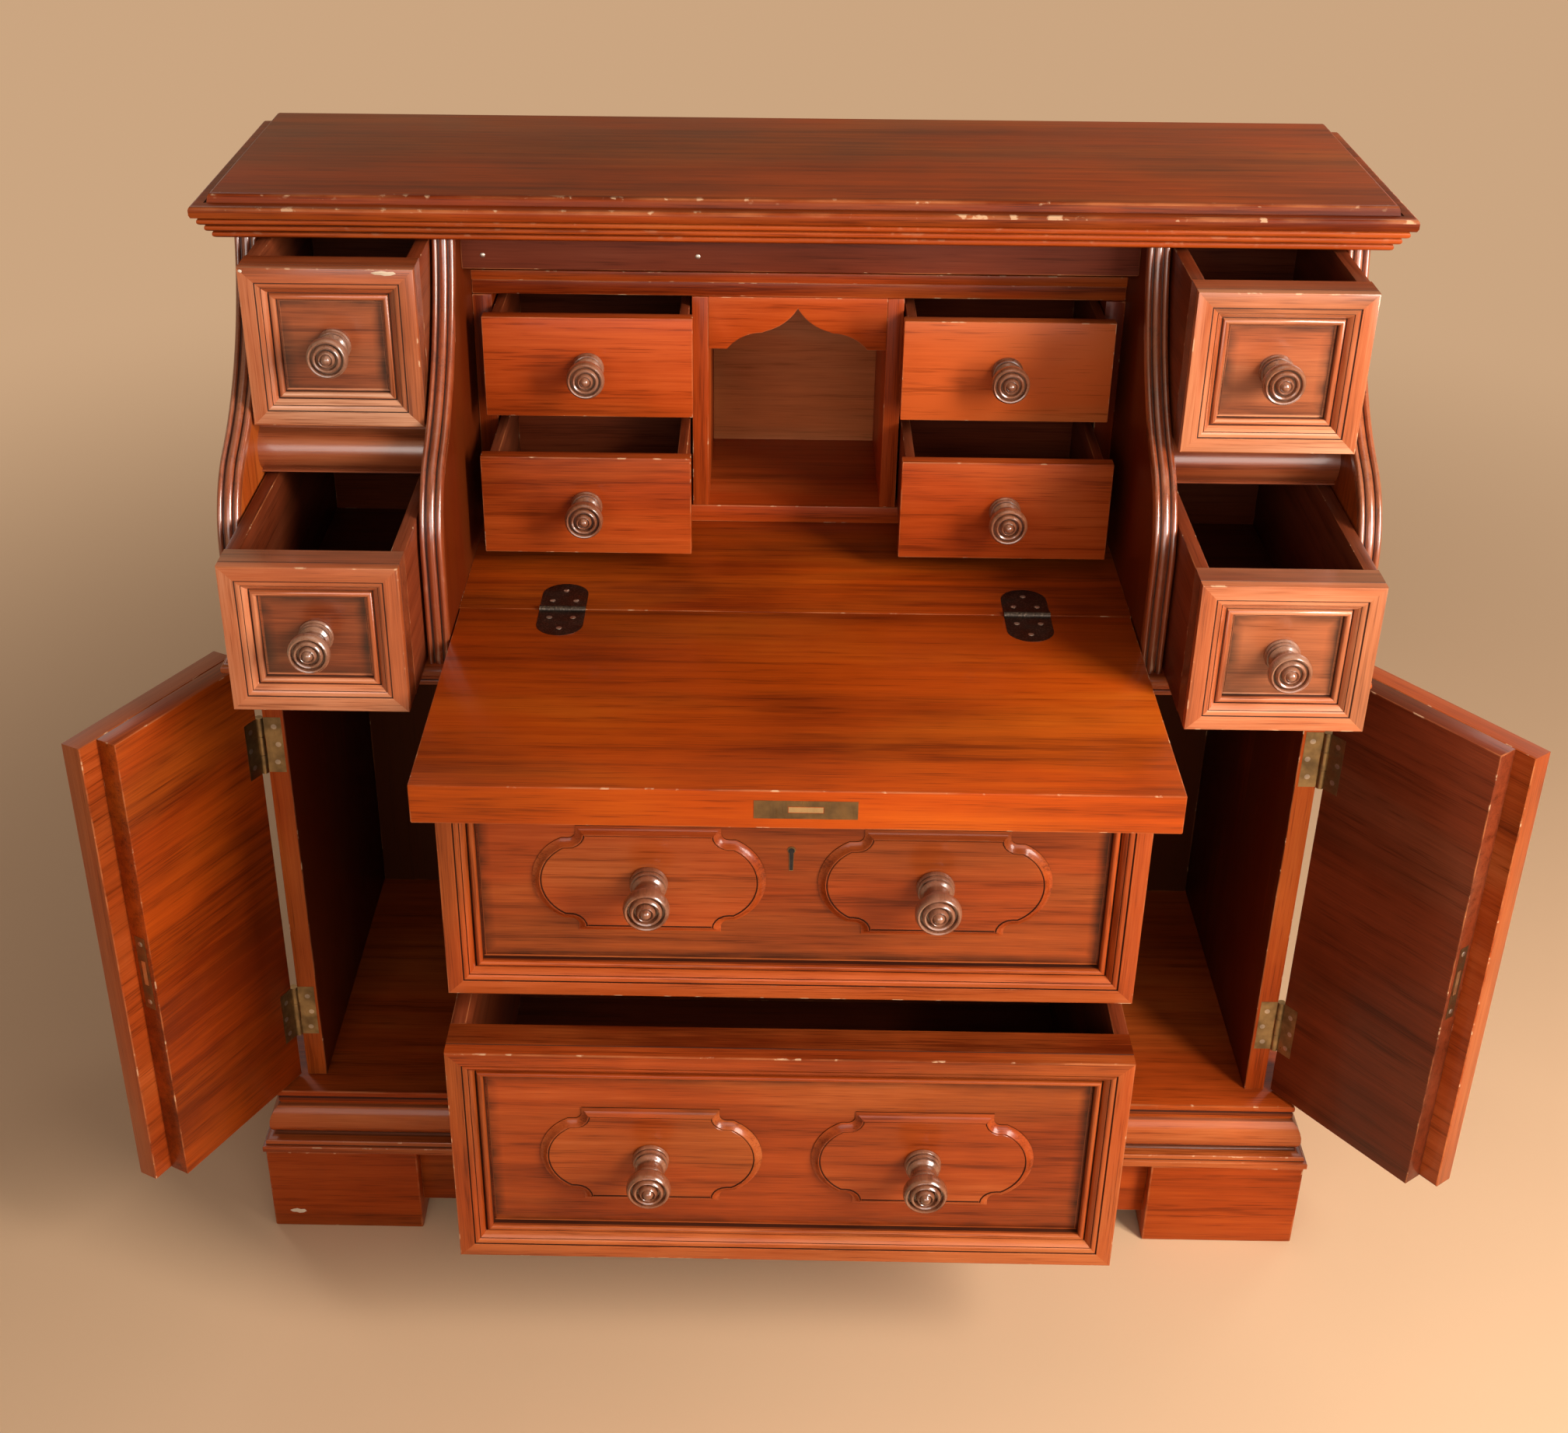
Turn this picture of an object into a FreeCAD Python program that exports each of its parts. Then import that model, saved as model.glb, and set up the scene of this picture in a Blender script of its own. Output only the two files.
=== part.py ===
import FreeCAD, Part
import math
import os

from FreeCAD import Vector

# A davenport desk: two cupboards and two long drawers below, and above them a sloping fall
# between S-shaped uprights, with small drawers at both sides and a fitted case at the back.
# Millimetres. The floor is Z = 0, the back plane is Y = 0 with the front towards -Y, and
# X = 0 is the middle of the width. The desk is drawn open, as it stands in use.

# Heights, stacked from the floor up
foot_height = 107.0
base_moulding_height = 53.0
base_floor_thickness = 18.0
cupboard_height = 524.0
waist_thickness = 22.0
upright_height = 345.0
cornice_height = 21.0
lip_thickness = 12.0
field_thickness = 8.0
writing_rise = 26.0

# Widths and depths of the carcass
carcass_width = 1026.0
carcass_depth = 376.0
inner_gap = 626.0
upright_thickness = 21.0
partition_thickness = 20.0
partition_proud = 22.0
back_thickness = 10.0
top_width = 1086.0
top_depth = 302.0
lip_width = 15.0
cornice_step = 5.0
cornice_steps = 3

# Base: board, moulding, block feet and the rails between them
base_floor_proud = 28.0
plinth_proud = 46.0
moulding_fillet = 11.0
moulding_quirk = 3.0
moulding_cove = 8.0
moulding_inner = 20.0
foot_width = 163.0
foot_length = 110.0
foot_inset = 2.0
plinth_rail_thickness = 18.0
plinth_rail_inset = 14.0
plinth_rail_clear = 30.0

# Waist boards, which carry the uprights
waist_front_proud = 8.0
waist_side_proud = 10.0
waist_step = 4.0
waist_steps = 3

# S shape of the uprights: a straight foot, a convex arc and a concave arc
low_front_depth = 448.0
high_front_depth = 266.0
low_arc_radius = 91.0
high_arc_radius = 235.0
straight_height = 106.0
reeding_thickness = 8.0
reeding_groove_width = 2.0
reeding_groove_depth = 3.0

# Rails and shelves between the side drawers
lower_side_opening = 144.0
side_rail_height = 50.0
side_rail_depth = 338.0
side_roll_radius = 20.0
side_roll_rise = 20.5
side_roll_sunk = 3.0
side_shelf_thickness = 12.0

# Frieze rail above the fall
frieze_depth = 240.0
frieze_thickness = 18.0
frieze_height = 41.0

# Writing board and fall
hinge_line_depth = 385.0
flap_length = 311.0
flap_thickness = 36.4
flap_side_gap = 1.0
flap_joint_gap = 0.5

# Fitted case on the writing board
case_depth = 187.0
case_bottom_thickness = 18.0
case_opening_height = 102.0
case_shelf_thickness = 14.0
case_top_thickness = 24.0
case_end_thickness = 19.0
case_partition_thickness = 16.0
pigeonhole_width = 172.0
valance_thickness = 10.0
valance_drop = 52.0
valance_rise = 41.0
valance_shoulder = 20.0
valance_lobe = 18.0
valance_lobe_half = 30.0

# Long drawers between the partitions
lower_long_opening = 253.0
divider_height = 27.5
divider_depth = 60.0
runner_width = 20.0
long_board = 30.0
long_frame = 14.0
long_band = 15.0
long_slope = 15.0
long_side = 14.0
long_box_drop = 1.0
cartouche_spacing = 254.0
cartouche_width = 208.0
cartouche_height = 112.0
cartouche_straight = 128.0
cartouche_notch = 13.0
cartouche_drop = 4.0
cartouche_thickness = 6.0

# Side drawers
upper_face_proud = 4.0
lower_face_inset = 8.0
side_board = 25.0
side_frame = 10.0
side_band = 14.0
side_slope = 18.0
side_drawer_side = 12.0
side_box_drop = 1.0

# Drawers of the fitted case
case_front_thickness = 14.0
case_front_lap = 3.0
case_drawer_side = 9.0
case_box_drop = 8.0

# Knobs, as head radius and length
side_knob_radius = 18.5
side_knob_length = 42.0
case_knob_radius = 18.0
case_knob_length = 43.0
long_knob_radius = 20.5
long_knob_length = 53.0

# Doors
door_board = 22.0
door_frame = 22.0
door_band = 16.0
door_slope = 24.0
door_foot_gap = 3.0
door_head_gap = 16.0
door_edge_gap = 2.0
door_lip_gap = 1.5
door_seat_gap = 0.5

# Hinges
door_hinge_length = 62.0
door_leaf_width = 21.0
door_leaf_thickness = 2.0
door_knuckle_radius = 4.0
door_pin_radius = 1.8
lower_hinge_rise = 84.0
upper_hinge_drop = 94.0
knuckle_sink = 0.5
flap_hinge_length = 43.0
flap_leaf_width = 52.0
flap_leaf_thickness = 2.5
flap_knuckle_radius = 3.6
flap_pin_radius = 1.5
flap_hinge_spacing = 432.0
pin_clearance = 0.05
knuckle_clearance = 0.6
knuckle_gap = 0.4

# Locks in the fall and in the doors
flap_plate_width = 84.0
flap_plate_height = 17.0
flap_lock_shift = 8.0
door_plate_height = 84.0
door_plate_width = 12.0
door_lock_rise = 249.0
plate_thickness = 2.0
bolt_width = 28.0
bolt_thickness = 5.0
bolt_length = 34.0
bolt_throw = 10.0
bolt_clearance = 0.5

# Clearances that moving pieces run in
running_gap = 0.4
drawer_side_gap = 2.0
front_gap = 2.5
case_front_gap = 2.0
box_back_gap = 2.0
drawer_bottom = 6.0

# How far the drawers, the doors and the fall stand open, as drawn
upper_left_pull = 93.0
upper_right_pull = 129.0
lower_left_pull = 100.0
lower_right_pull = 111.0
case_upper_left_pull = 44.0
case_upper_right_pull = 43.0
case_lower_left_pull = 103.0
case_lower_right_pull = 104.0
upper_long_pull = 174.0
lower_long_pull = 220.0
left_door_angle = 118.0
right_door_angle = 127.0

# Levels and planes that follow from the sizes above
base_floor_bottom = foot_height + base_moulding_height
base_floor_top = base_floor_bottom + base_floor_thickness
waist_bottom = base_floor_top + cupboard_height
waist_top = waist_bottom + waist_thickness
writing_height = waist_top + writing_rise
cornice_bottom = waist_top + upright_height
lip_bottom = cornice_bottom + cornice_height
lip_top = lip_bottom + lip_thickness
desk_height = lip_top + field_thickness
side_rail_bottom = waist_top + lower_side_opening
side_rail_top = side_rail_bottom + side_rail_height
flap_bottom = writing_height - flap_thickness
divider_bottom = base_floor_top + lower_long_opening
divider_top = divider_bottom + divider_height
case_bottom_top = writing_height + case_bottom_thickness
case_shelf_bottom = case_bottom_top + case_opening_height
case_shelf_top = case_shelf_bottom + case_shelf_thickness
case_top_bottom = case_shelf_top + case_opening_height
case_top_top = case_top_bottom + case_top_thickness
carcass_half = carcass_width / 2
gap_half = inner_gap / 2
side_opening_inner = gap_half + upright_thickness
side_opening_outer = carcass_half - upright_thickness
front_plane = -carcass_depth
partition_front = front_plane - partition_proud
back_inner = -back_thickness
hinge_line = -hinge_line_depth
case_plane = -case_depth
waist_front = -low_front_depth - waist_front_proud
upper_face = -high_front_depth - upper_face_proud
lower_face = lower_face_inset - low_front_depth
door_bottom = base_floor_top + door_foot_gap
door_top = waist_bottom - door_head_gap
lock_height = door_bottom + door_lock_rise
pigeonhole_half = pigeonhole_width / 2
case_opening_inner = pigeonhole_half + case_partition_thickness
case_opening_outer = gap_half - case_end_thickness

MIDDLE = Vector(0, 0, 0)
ACROSS = Vector(1, 0, 0)
BACKWARD = Vector(0, 1, 0)
UP = Vector(0, 0, 1)


def box(x0, x1, y0, y1, z0, z1):
    corner = Vector(min(x0, x1), min(y0, y1), min(z0, z1))
    return Part.makeBox(abs(x1 - x0), abs(y1 - y0), abs(z1 - z0), corner)


def mirrored(shape):
    return shape.mirror(MIDDLE, ACROSS)


def pair(shape):
    return [shape, mirrored(shape)]


def fused(shapes):
    return shapes[0].fuse(shapes[1:]).removeSplitter()


def moved(shapes, offset):
    return [shape.translated(offset) for shape in shapes]


def lines(points):
    return [Part.makeLine(a, b) for a, b in zip(points, points[1:])]


def save(name, shapes):
    solids = [solid for shape in shapes for solid in shape.Solids]
    if not all(solid.isValid() and solid.Volume > 0 for solid in solids):
        raise ValueError("bad solid in " + name)
    Part.makeCompound(solids).exportStep("parts/" + name + ".step")
    print(name, len(solids), "solids", round(sum(solid.Volume for solid in solids) / 1000), "cm3")


# S shape: the two arcs touch, so the height of the upper centre follows from the radii
s_offset = low_front_depth - high_front_depth
s_radii = low_arc_radius + high_arc_radius
s_low_centre = Vector(0, low_arc_radius - low_front_depth, waist_top + straight_height)
s_high_centre = Vector(0, -high_front_depth - high_arc_radius,
                       s_low_centre.z + math.sqrt(s_offset * (2 * s_radii - s_offset)))
s_turn = math.atan2(s_high_centre.z - s_low_centre.z, s_high_centre.y - s_low_centre.y)


def on_circle(centre, radius, angle):
    return Vector(0, centre.y + radius * math.cos(angle), centre.z + radius * math.sin(angle))


def arc(centre, radius, start, end):
    points = [on_circle(centre, radius, angle) for angle in (start, (start + end) / 2, end)]
    return Part.Arc(*points).toShape()


def s_edges(inset):
    """The S line at a distance behind the front of the reeding, as edges from the foot up."""
    low_radius = low_arc_radius - inset
    high_radius = high_arc_radius + inset
    foot = Vector(0, inset - low_front_depth, waist_top)
    bend = Vector(0, inset - low_front_depth, s_low_centre.z)
    head_angle = math.asin((cornice_bottom - s_high_centre.z) / high_radius)
    low_arc = arc(s_low_centre, low_radius, math.pi, s_turn)
    high_arc = arc(s_high_centre, high_radius, s_turn - math.pi, head_angle)
    head = on_circle(s_high_centre, high_radius, head_angle)
    return [Part.makeLine(foot, bend), low_arc, high_arc], foot, head


def s_plate(inset, x0, x1, back):
    edges, foot, head = s_edges(inset)
    head_back = Vector(0, back, cornice_bottom)
    foot_back = Vector(0, back, waist_top)
    edges += lines([head, head_back, foot_back, foot])
    face = Part.Face(Part.Wire(Part.__sortEdges__(edges)))
    return face.extrude(ACROSS * (x1 - x0)).translated(ACROSS * x0)


def s_band(outer, inner, x0, x1):
    outer_edges, outer_foot, outer_head = s_edges(outer)
    inner_edges, inner_foot, inner_head = s_edges(inner)
    ends = [Part.makeLine(outer_head, inner_head), Part.makeLine(inner_foot, outer_foot)]
    face = Part.Face(Part.Wire(Part.__sortEdges__(outer_edges + inner_edges + ends)))
    return face.extrude(ACROSS * (x1 - x0)).translated(ACROSS * x0)


# Top board and the stepped cornice board under it
def top_board():
    half = top_width / 2
    lip = box(-half, half, -top_depth, 0, lip_bottom, lip_top)
    field = box(lip_width - half, half - lip_width, lip_width - top_depth, 0, lip_top, desk_height)
    return fused([lip, field])


def cornice():
    layers = []
    layer_height = cornice_height / cornice_steps
    for step in range(cornice_steps):
        inset = cornice_step * (step + 1)
        half = top_width / 2 - inset
        top = lip_bottom - layer_height * step
        layers.append(box(-half, half, inset - top_depth, 0, top - layer_height, top))
    return fused(layers)


# Uprights, with their reeded front strips
def reeded_strip(x0):
    strip = s_band(0, reeding_thickness, x0, x0 + upright_thickness)
    bead = (upright_thickness - 2 * reeding_groove_width) / 3
    for groove in range(2):
        start = x0 + bead + groove * (bead + reeding_groove_width)
        strip = strip.cut(s_band(0, reeding_groove_depth, start, start + reeding_groove_width))
    return strip


nodes = {}
nodes["top_board"] = [top_board()]
nodes["cornice"] = [cornice()]
nodes["outer_uprights"] = pair(s_plate(reeding_thickness, side_opening_outer, carcass_half, 0))
nodes["inner_uprights"] = pair(s_plate(reeding_thickness, gap_half, side_opening_inner, back_inner))
nodes["upright_reeding"] = pair(reeded_strip(side_opening_outer)) + pair(reeded_strip(gap_half))


# Rails with a roll along the front, between the side drawers, and the shelves behind them
side_rail_back = upper_face + side_frame + side_board


def roll_rail():
    rail = box(side_opening_inner, side_opening_outer, -side_rail_depth, side_rail_back,
               side_rail_bottom, side_rail_top)
    start = Vector(side_opening_inner, -side_rail_depth + side_roll_sunk, side_rail_bottom + side_roll_rise)
    roll = Part.makeCylinder(side_roll_radius, side_opening_outer - side_opening_inner, start, ACROSS)
    return fused([rail, roll])


def side_shelf():
    return box(side_opening_inner, side_opening_outer, side_rail_back, back_inner,
               side_rail_top - side_shelf_thickness, side_rail_top)


def divider():
    """The rail between the long drawers and the two runners behind it."""
    rail_back = partition_front + divider_depth
    rail = box(-gap_half, gap_half, partition_front, rail_back, divider_bottom, divider_top)
    runner = box(gap_half - runner_width, gap_half, rail_back, back_inner, divider_bottom, divider_top)
    return [rail] + pair(runner)


nodes["roll_rails"] = pair(roll_rail())
nodes["drawer_shelves"] = pair(side_shelf()) + divider()
nodes["frieze_rail"] = [box(-gap_half, gap_half, -frieze_depth, frieze_thickness - frieze_depth,
                            cornice_bottom - frieze_height, cornice_bottom)]


# Hinges. Each is built with its pin along Z, its leaves along +X and folded on the plane Y = 0
def knuckle_spans(length):
    third = length / 3
    return [(-third * 1.5, -third * 0.5), (-third * 0.5, third * 0.5), (third * 0.5, third * 1.5)]


def leaf_plate(width, length, thickness, side, rounded):
    if not rounded:
        return box(0, width, 0, side * thickness, -length / 2, length / 2)
    radius = length / 2
    plate = box(0, width - radius, 0, side * thickness, -radius, radius)
    end = Part.makeCylinder(radius, thickness, Vector(width - radius, 0, 0), BACKWARD * side)
    return fused([plate, end])


def hinge_leaf(width, length, thickness, knuckle, pin, side, rounded, own_spans):
    leaf = leaf_plate(width, length, thickness, side, rounded)
    for index, (low, high) in enumerate(knuckle_spans(length)):
        if index in own_spans:
            leaf = leaf.fuse(Part.makeCylinder(knuckle, high - low, Vector(0, 0, low)))
    for index, (low, high) in enumerate(knuckle_spans(length)):
        if index not in own_spans:
            room = Part.makeCylinder(knuckle + knuckle_gap, high - low + knuckle_gap,
                                     Vector(0, 0, low - knuckle_gap / 2))
            leaf = leaf.cut(room)
    bore = Part.makeCylinder(pin + pin_clearance, length * 2, Vector(0, 0, -length))
    return leaf.cut(bore).removeSplitter()


def hinge_pin(length, pin):
    return Part.makeCylinder(pin, length, Vector(0, 0, -length / 2))


def hinge_mortise(width, length, thickness, knuckle, side, rounded):
    room = Part.makeCylinder(knuckle + knuckle_clearance, length + 2 * knuckle_clearance,
                             Vector(0, 0, -length / 2 - knuckle_clearance))
    return [leaf_plate(width, length, thickness, side, rounded), room]


FIXED_SPANS = (0, 2)
MOVING_SPANS = (1,)
door_hinge_x = carcass_half + door_knuckle_radius - knuckle_sink
door_hinge_axis = Vector(door_hinge_x, front_plane - door_seat_gap / 2, 0)
door_hinge_heights = (door_bottom + lower_hinge_rise, door_top - upper_hinge_drop)
flap_hinge_places = (-flap_hinge_spacing / 2, flap_hinge_spacing / 2)


def at_door_hinges(shapes):
    """Copies of hinge pieces at the two hinges of the right door, leaves pointing inwards."""
    turned = [shape.rotated(MIDDLE, UP, 180) for shape in shapes]
    return [shape.translated(door_hinge_axis + UP * z) for z in door_hinge_heights for shape in turned]


def at_flap_hinges(shapes):
    """Copies of hinge pieces at the two hinges of the fall, pin along X and fixed leaf backwards."""
    turned = [shape.rotated(MIDDLE, Vector(1, 1, 1), 120) for shape in shapes]
    return [shape.translated(Vector(x, hinge_line, writing_height)) for x in flap_hinge_places
            for shape in turned]


def door_leaf(side, spans):
    return hinge_leaf(door_leaf_width, door_hinge_length, door_leaf_thickness, door_knuckle_radius,
                      door_pin_radius, side, False, spans)


def door_mortise(side):
    return hinge_mortise(door_leaf_width, door_hinge_length, door_leaf_thickness, door_knuckle_radius,
                         side, False)


def flap_leaf(side, spans):
    return hinge_leaf(flap_leaf_width, flap_hinge_length, flap_leaf_thickness, flap_knuckle_radius,
                      flap_pin_radius, side, True, spans)


def flap_mortise(side):
    return hinge_mortise(flap_leaf_width, flap_hinge_length, flap_leaf_thickness, flap_knuckle_radius,
                         side, True)


def opened(shapes):
    """Pieces of the fall's side of a hinge laid out flat, opposite the fixed leaf."""
    return [shape.rotated(MIDDLE, UP, 180) for shape in shapes]


fixed_door_leaves = at_door_hinges([door_leaf(-1, FIXED_SPANS)])
door_pins = at_door_hinges([hinge_pin(door_hinge_length, door_pin_radius)])
fixed_flap_leaves = at_flap_hinges([flap_leaf(-1, FIXED_SPANS)])
flap_pins = at_flap_hinges([hinge_pin(flap_hinge_length, flap_pin_radius)])
fixed_hinges = fixed_flap_leaves + flap_pins
for piece in fixed_door_leaves + door_pins:
    fixed_hinges += pair(piece)
nodes["fixed_hinge_leaves"] = fixed_hinges


# Writing board, and the fitted case that stands on it
def writing_board():
    board = box(-gap_half, gap_half, hinge_line + flap_joint_gap / 2, back_inner, flap_bottom, writing_height)
    return board.cut(at_flap_hinges(flap_mortise(-1)))


def case_boards():
    depth = (case_plane, back_inner)
    height = (case_bottom_top, case_top_bottom)
    bottom = box(-gap_half, gap_half, *depth, writing_height, case_bottom_top)
    top = box(-gap_half, gap_half, *depth, case_top_bottom, case_top_top)
    end = box(case_opening_outer, gap_half, *depth, *height)
    partition = box(pigeonhole_half, case_opening_inner, *depth, *height)
    shelf = box(case_opening_inner, case_opening_outer, *depth, case_shelf_bottom, case_shelf_top)
    return [bottom, top] + pair(end) + pair(partition) + pair(shelf)


def valance():
    """The shaped board over the pigeonhole: a shoulder, a lobe and an ogee point at each side."""
    shoulder = case_top_bottom - valance_drop
    lobe_start = pigeonhole_half - valance_shoulder
    lobe_middle = (lobe_start + valance_lobe_half) / 2
    lobe_top = shoulder + valance_lobe
    point_rise = valance_rise - valance_lobe
    centre = Vector(0, case_plane, case_top_bottom)
    corner = Vector(pigeonhole_half, case_plane, case_top_bottom)
    side_foot = Vector(pigeonhole_half, case_plane, shoulder)
    lobe_foot = Vector(lobe_start, case_plane, shoulder)
    lobe_bend = Vector(lobe_middle, case_plane, shoulder + valance_lobe * 0.7)
    lobe_head = Vector(valance_lobe_half, case_plane, lobe_top)
    point_bend = Vector(valance_lobe_half * 0.4, case_plane, lobe_top + point_rise * 0.4)
    point = Vector(0, case_plane, shoulder + valance_rise)
    edges = lines([point, centre, corner, side_foot, lobe_foot])
    edges.append(Part.Arc(lobe_foot, lobe_bend, lobe_head).toShape())
    edges.append(Part.Arc(lobe_head, point_bend, point).toShape())
    board = Part.Face(Part.Wire(edges)).extrude(BACKWARD * valance_thickness)
    return fused([board, mirrored(board)])


nodes["writing_board"] = [writing_board()]
nodes["fitted_case"] = case_boards()
nodes["pigeonhole_valance"] = [valance()]
nodes["back_panel"] = [box(-side_opening_outer, side_opening_outer, back_inner, 0,
                           base_floor_top, cornice_bottom)]


# Waist boards with a stepped edge, on the side panels and the partitions
def waist_board():
    layers = []
    layer_height = waist_thickness / waist_steps
    for step in range(waist_steps):
        inset = waist_step * step
        top = waist_top - layer_height * step
        layers.append(box(gap_half, carcass_half + waist_side_proud - inset, waist_front + inset, 0,
                          top - layer_height, top))
    room = box(0, side_opening_outer, back_inner, 0, waist_bottom, waist_top)
    return fused(layers).cut(room)


def side_panel():
    panel = box(side_opening_outer, carcass_half, front_plane, 0, base_floor_top, waist_bottom)
    return panel.cut(at_door_hinges(door_mortise(-1)))


# Locks: a plate let into the edge, with a bolt that slides through it
door_edge = gap_half + partition_thickness + door_edge_gap
door_board_front = front_plane - door_seat_gap - door_board
door_lock_y = front_plane - door_seat_gap - door_board / 2


def door_bolt(grow):
    return box(door_edge - grow, door_edge + bolt_length + grow,
               door_lock_y - bolt_thickness / 2 - grow, door_lock_y + bolt_thickness / 2 + grow,
               lock_height - bolt_width / 2 - grow, lock_height + bolt_width / 2 + grow)


def door_lock_plate():
    return box(door_edge, door_edge + plate_thickness,
               door_lock_y - door_plate_width / 2, door_lock_y + door_plate_width / 2,
               lock_height - door_plate_height / 2, lock_height + door_plate_height / 2)


def partition():
    board = box(gap_half, gap_half + partition_thickness, partition_front, back_inner,
                base_floor_top, waist_bottom)
    return board.cut(door_bolt(bolt_clearance).translated(ACROSS * -(bolt_throw + bolt_clearance)))


nodes["waist_boards"] = pair(waist_board())
nodes["side_panels"] = pair(side_panel())
nodes["partitions"] = pair(partition())


# Base: floor board, mitred moulding, rails and feet
def base_floor():
    half = carcass_half + base_floor_proud
    return box(-half, half, front_plane - base_floor_proud, 0, base_floor_bottom, base_floor_top)


def moulding_face():
    """Section of the base moulding, outwards along X: a fillet at the foot, a cove and an ovolo."""
    fillet_top = foot_height + moulding_fillet
    cove_out = plinth_proud - moulding_quirk
    ovolo_low = fillet_top + moulding_cove
    cove_in = cove_out - moulding_cove
    swell = (base_floor_bottom - ovolo_low) / 4
    inner_foot = Vector(-moulding_inner, 0, foot_height)
    cove_foot = Vector(cove_out, 0, fillet_top)
    cove_bend = Vector(cove_in + moulding_cove * 0.3, 0, fillet_top + moulding_cove * 0.3)
    ovolo_foot = Vector(cove_in, 0, ovolo_low)
    ovolo_bend = Vector((cove_in + base_floor_proud) / 2 + swell, 0, (ovolo_low + base_floor_bottom) / 2)
    ovolo_head = Vector(base_floor_proud, 0, base_floor_bottom)
    inner_head = Vector(-moulding_inner, 0, base_floor_bottom)
    fillet_foot = Vector(plinth_proud, 0, foot_height)
    fillet_head = Vector(plinth_proud, 0, fillet_top)
    edges = lines([ovolo_head, inner_head, inner_foot, fillet_foot, fillet_head, cove_foot])
    edges.append(Part.Arc(cove_foot, cove_bend, ovolo_foot).toShape())
    edges.append(Part.Arc(ovolo_foot, ovolo_bend, ovolo_head).toShape())
    return Part.Face(Part.Wire(edges))


def mitre_prism(points):
    corners = [Vector(x, y, foot_height) for x, y in points + points[:1]]
    return Part.Face(Part.makePolygon(corners)).extrude(UP * base_moulding_height)


def base_moulding():
    inner_x = carcass_half - moulding_inner
    inner_y = front_plane + moulding_inner
    reach = moulding_inner + plinth_proud
    outer_x = inner_x + reach
    outer_y = inner_y - reach
    section = moulding_face()
    front_section = section.rotated(MIDDLE, UP, -90).translated(Vector(-outer_x, front_plane, 0))
    front_mitre = [(-inner_x, inner_y), (inner_x, inner_y), (outer_x, outer_y), (-outer_x, outer_y)]
    side_mitre = [(inner_x, 0), (inner_x, inner_y), (outer_x, outer_y), (outer_x, 0)]
    front = front_section.extrude(ACROSS * (2 * outer_x)).common(mitre_prism(front_mitre))
    side_section = section.translated(ACROSS * carcass_half)
    side = side_section.extrude(BACKWARD * outer_y).common(mitre_prism(side_mitre))
    return [front] + pair(side)


def feet():
    outer = carcass_half + plinth_proud - foot_inset
    front = front_plane - plinth_proud + foot_inset
    front_foot = box(outer - foot_width, outer, front, front + foot_length, 0, foot_height)
    back_foot = box(outer - foot_width, outer, -foot_length, 0, 0, foot_height)
    return pair(front_foot) + pair(back_foot)


def plinth_rails():
    """Recessed rails between the feet, and a back board that stands on the floor."""
    outer = carcass_half + plinth_proud - foot_inset
    front = front_plane - plinth_proud + foot_inset
    between = outer - foot_width
    inset = plinth_rail_inset
    rail_end = inset + plinth_rail_thickness
    front_rail = box(-between, between, front + inset, front + rail_end, plinth_rail_clear, foot_height)
    side_rail = box(outer - rail_end, outer - inset, front + foot_length, -foot_length,
                    plinth_rail_clear, foot_height)
    back_board = box(-between, between, -plinth_rail_thickness, 0, 0, base_floor_bottom)
    return [front_rail, back_board] + pair(side_rail)


nodes["base_floor"] = [base_floor()]
nodes["base_moulding"] = base_moulding()
nodes["feet"] = feet()
nodes["plinth_rails"] = plinth_rails()


# Drawers: a box of four boards, a front, and turned knobs
def drawer_box(x0, x1, y0, y1, z0, z1, side):
    inner = (x0 + side, x1 - side)
    sides = [box(x0, x0 + side, y0, y1, z0, z1), box(x1 - side, x1, y0, y1, z0, z1)]
    bottom = box(inner[0], inner[1], y0, y1, z0, z0 + drawer_bottom)
    back = box(inner[0], inner[1], y1 - side, y1, z0 + drawer_bottom, z1)
    return sides + [bottom, back]


def rectangle(x0, x1, z0, z1, y):
    corners = [(x0, z0), (x1, z0), (x1, z1), (x0, z1), (x0, z0)]
    return Part.makePolygon([Vector(x, y, z) for x, z in corners])


def frame_ring(x0, x1, z0, z1, face, depth, bands, slope):
    """A frame that slopes down to the panel behind it, with flat bands at its left, right, foot and head."""
    left = x0 + bands[0]
    right = x1 - bands[1]
    foot = z0 + bands[2]
    head = z1 - bands[3]
    outer = rectangle(left, right, foot, head, face)
    inner = rectangle(left + slope, right - slope, foot + slope, head - slope, face + depth)
    return box(x0, x1, face, face + depth, z0, z1).cut(Part.makeLoft([outer, inner], True, True))


def framed_front(x0, x1, z0, z1, face, board, frame, band, slope):
    panel = box(x0, x1, face + frame, face + frame + board, z0, z1)
    return [panel, frame_ring(x0, x1, z0, z1, face, frame, (band,) * 4, slope)]


# Outline of a turned knob as shares of its head radius and of its length
KNOB_STEM = [(0, 0), (0.8, 0), (0.8, 0.22), (0.54, 0.3), (0.54, 0.44), (0.66, 0.5), (0.6, 0.57), (1.0, 0.74)]
KNOB_BROW = [(1.0, 0.74), (0.9, 0.89), (0.5, 0.95)]
KNOB_FACE = [(0.5, 0.95), (0.3, 0.93), (0.3, 1.0), (0, 1.0), (0, 0)]


def knob(x, z, seat, radius, length):
    """A turned knob: a collar, a neck with a ring, and a round head with a button in its face."""
    def points(outline):
        return [Vector(x + radius * r, seat - length * t, z) for r, t in outline]

    edges = lines(points(KNOB_STEM)) + [Part.Arc(*points(KNOB_BROW)).toShape()] + lines(points(KNOB_FACE))
    return Part.Face(Part.Wire(edges)).revolve(Vector(x, seat, z), BACKWARD, 360)


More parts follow.
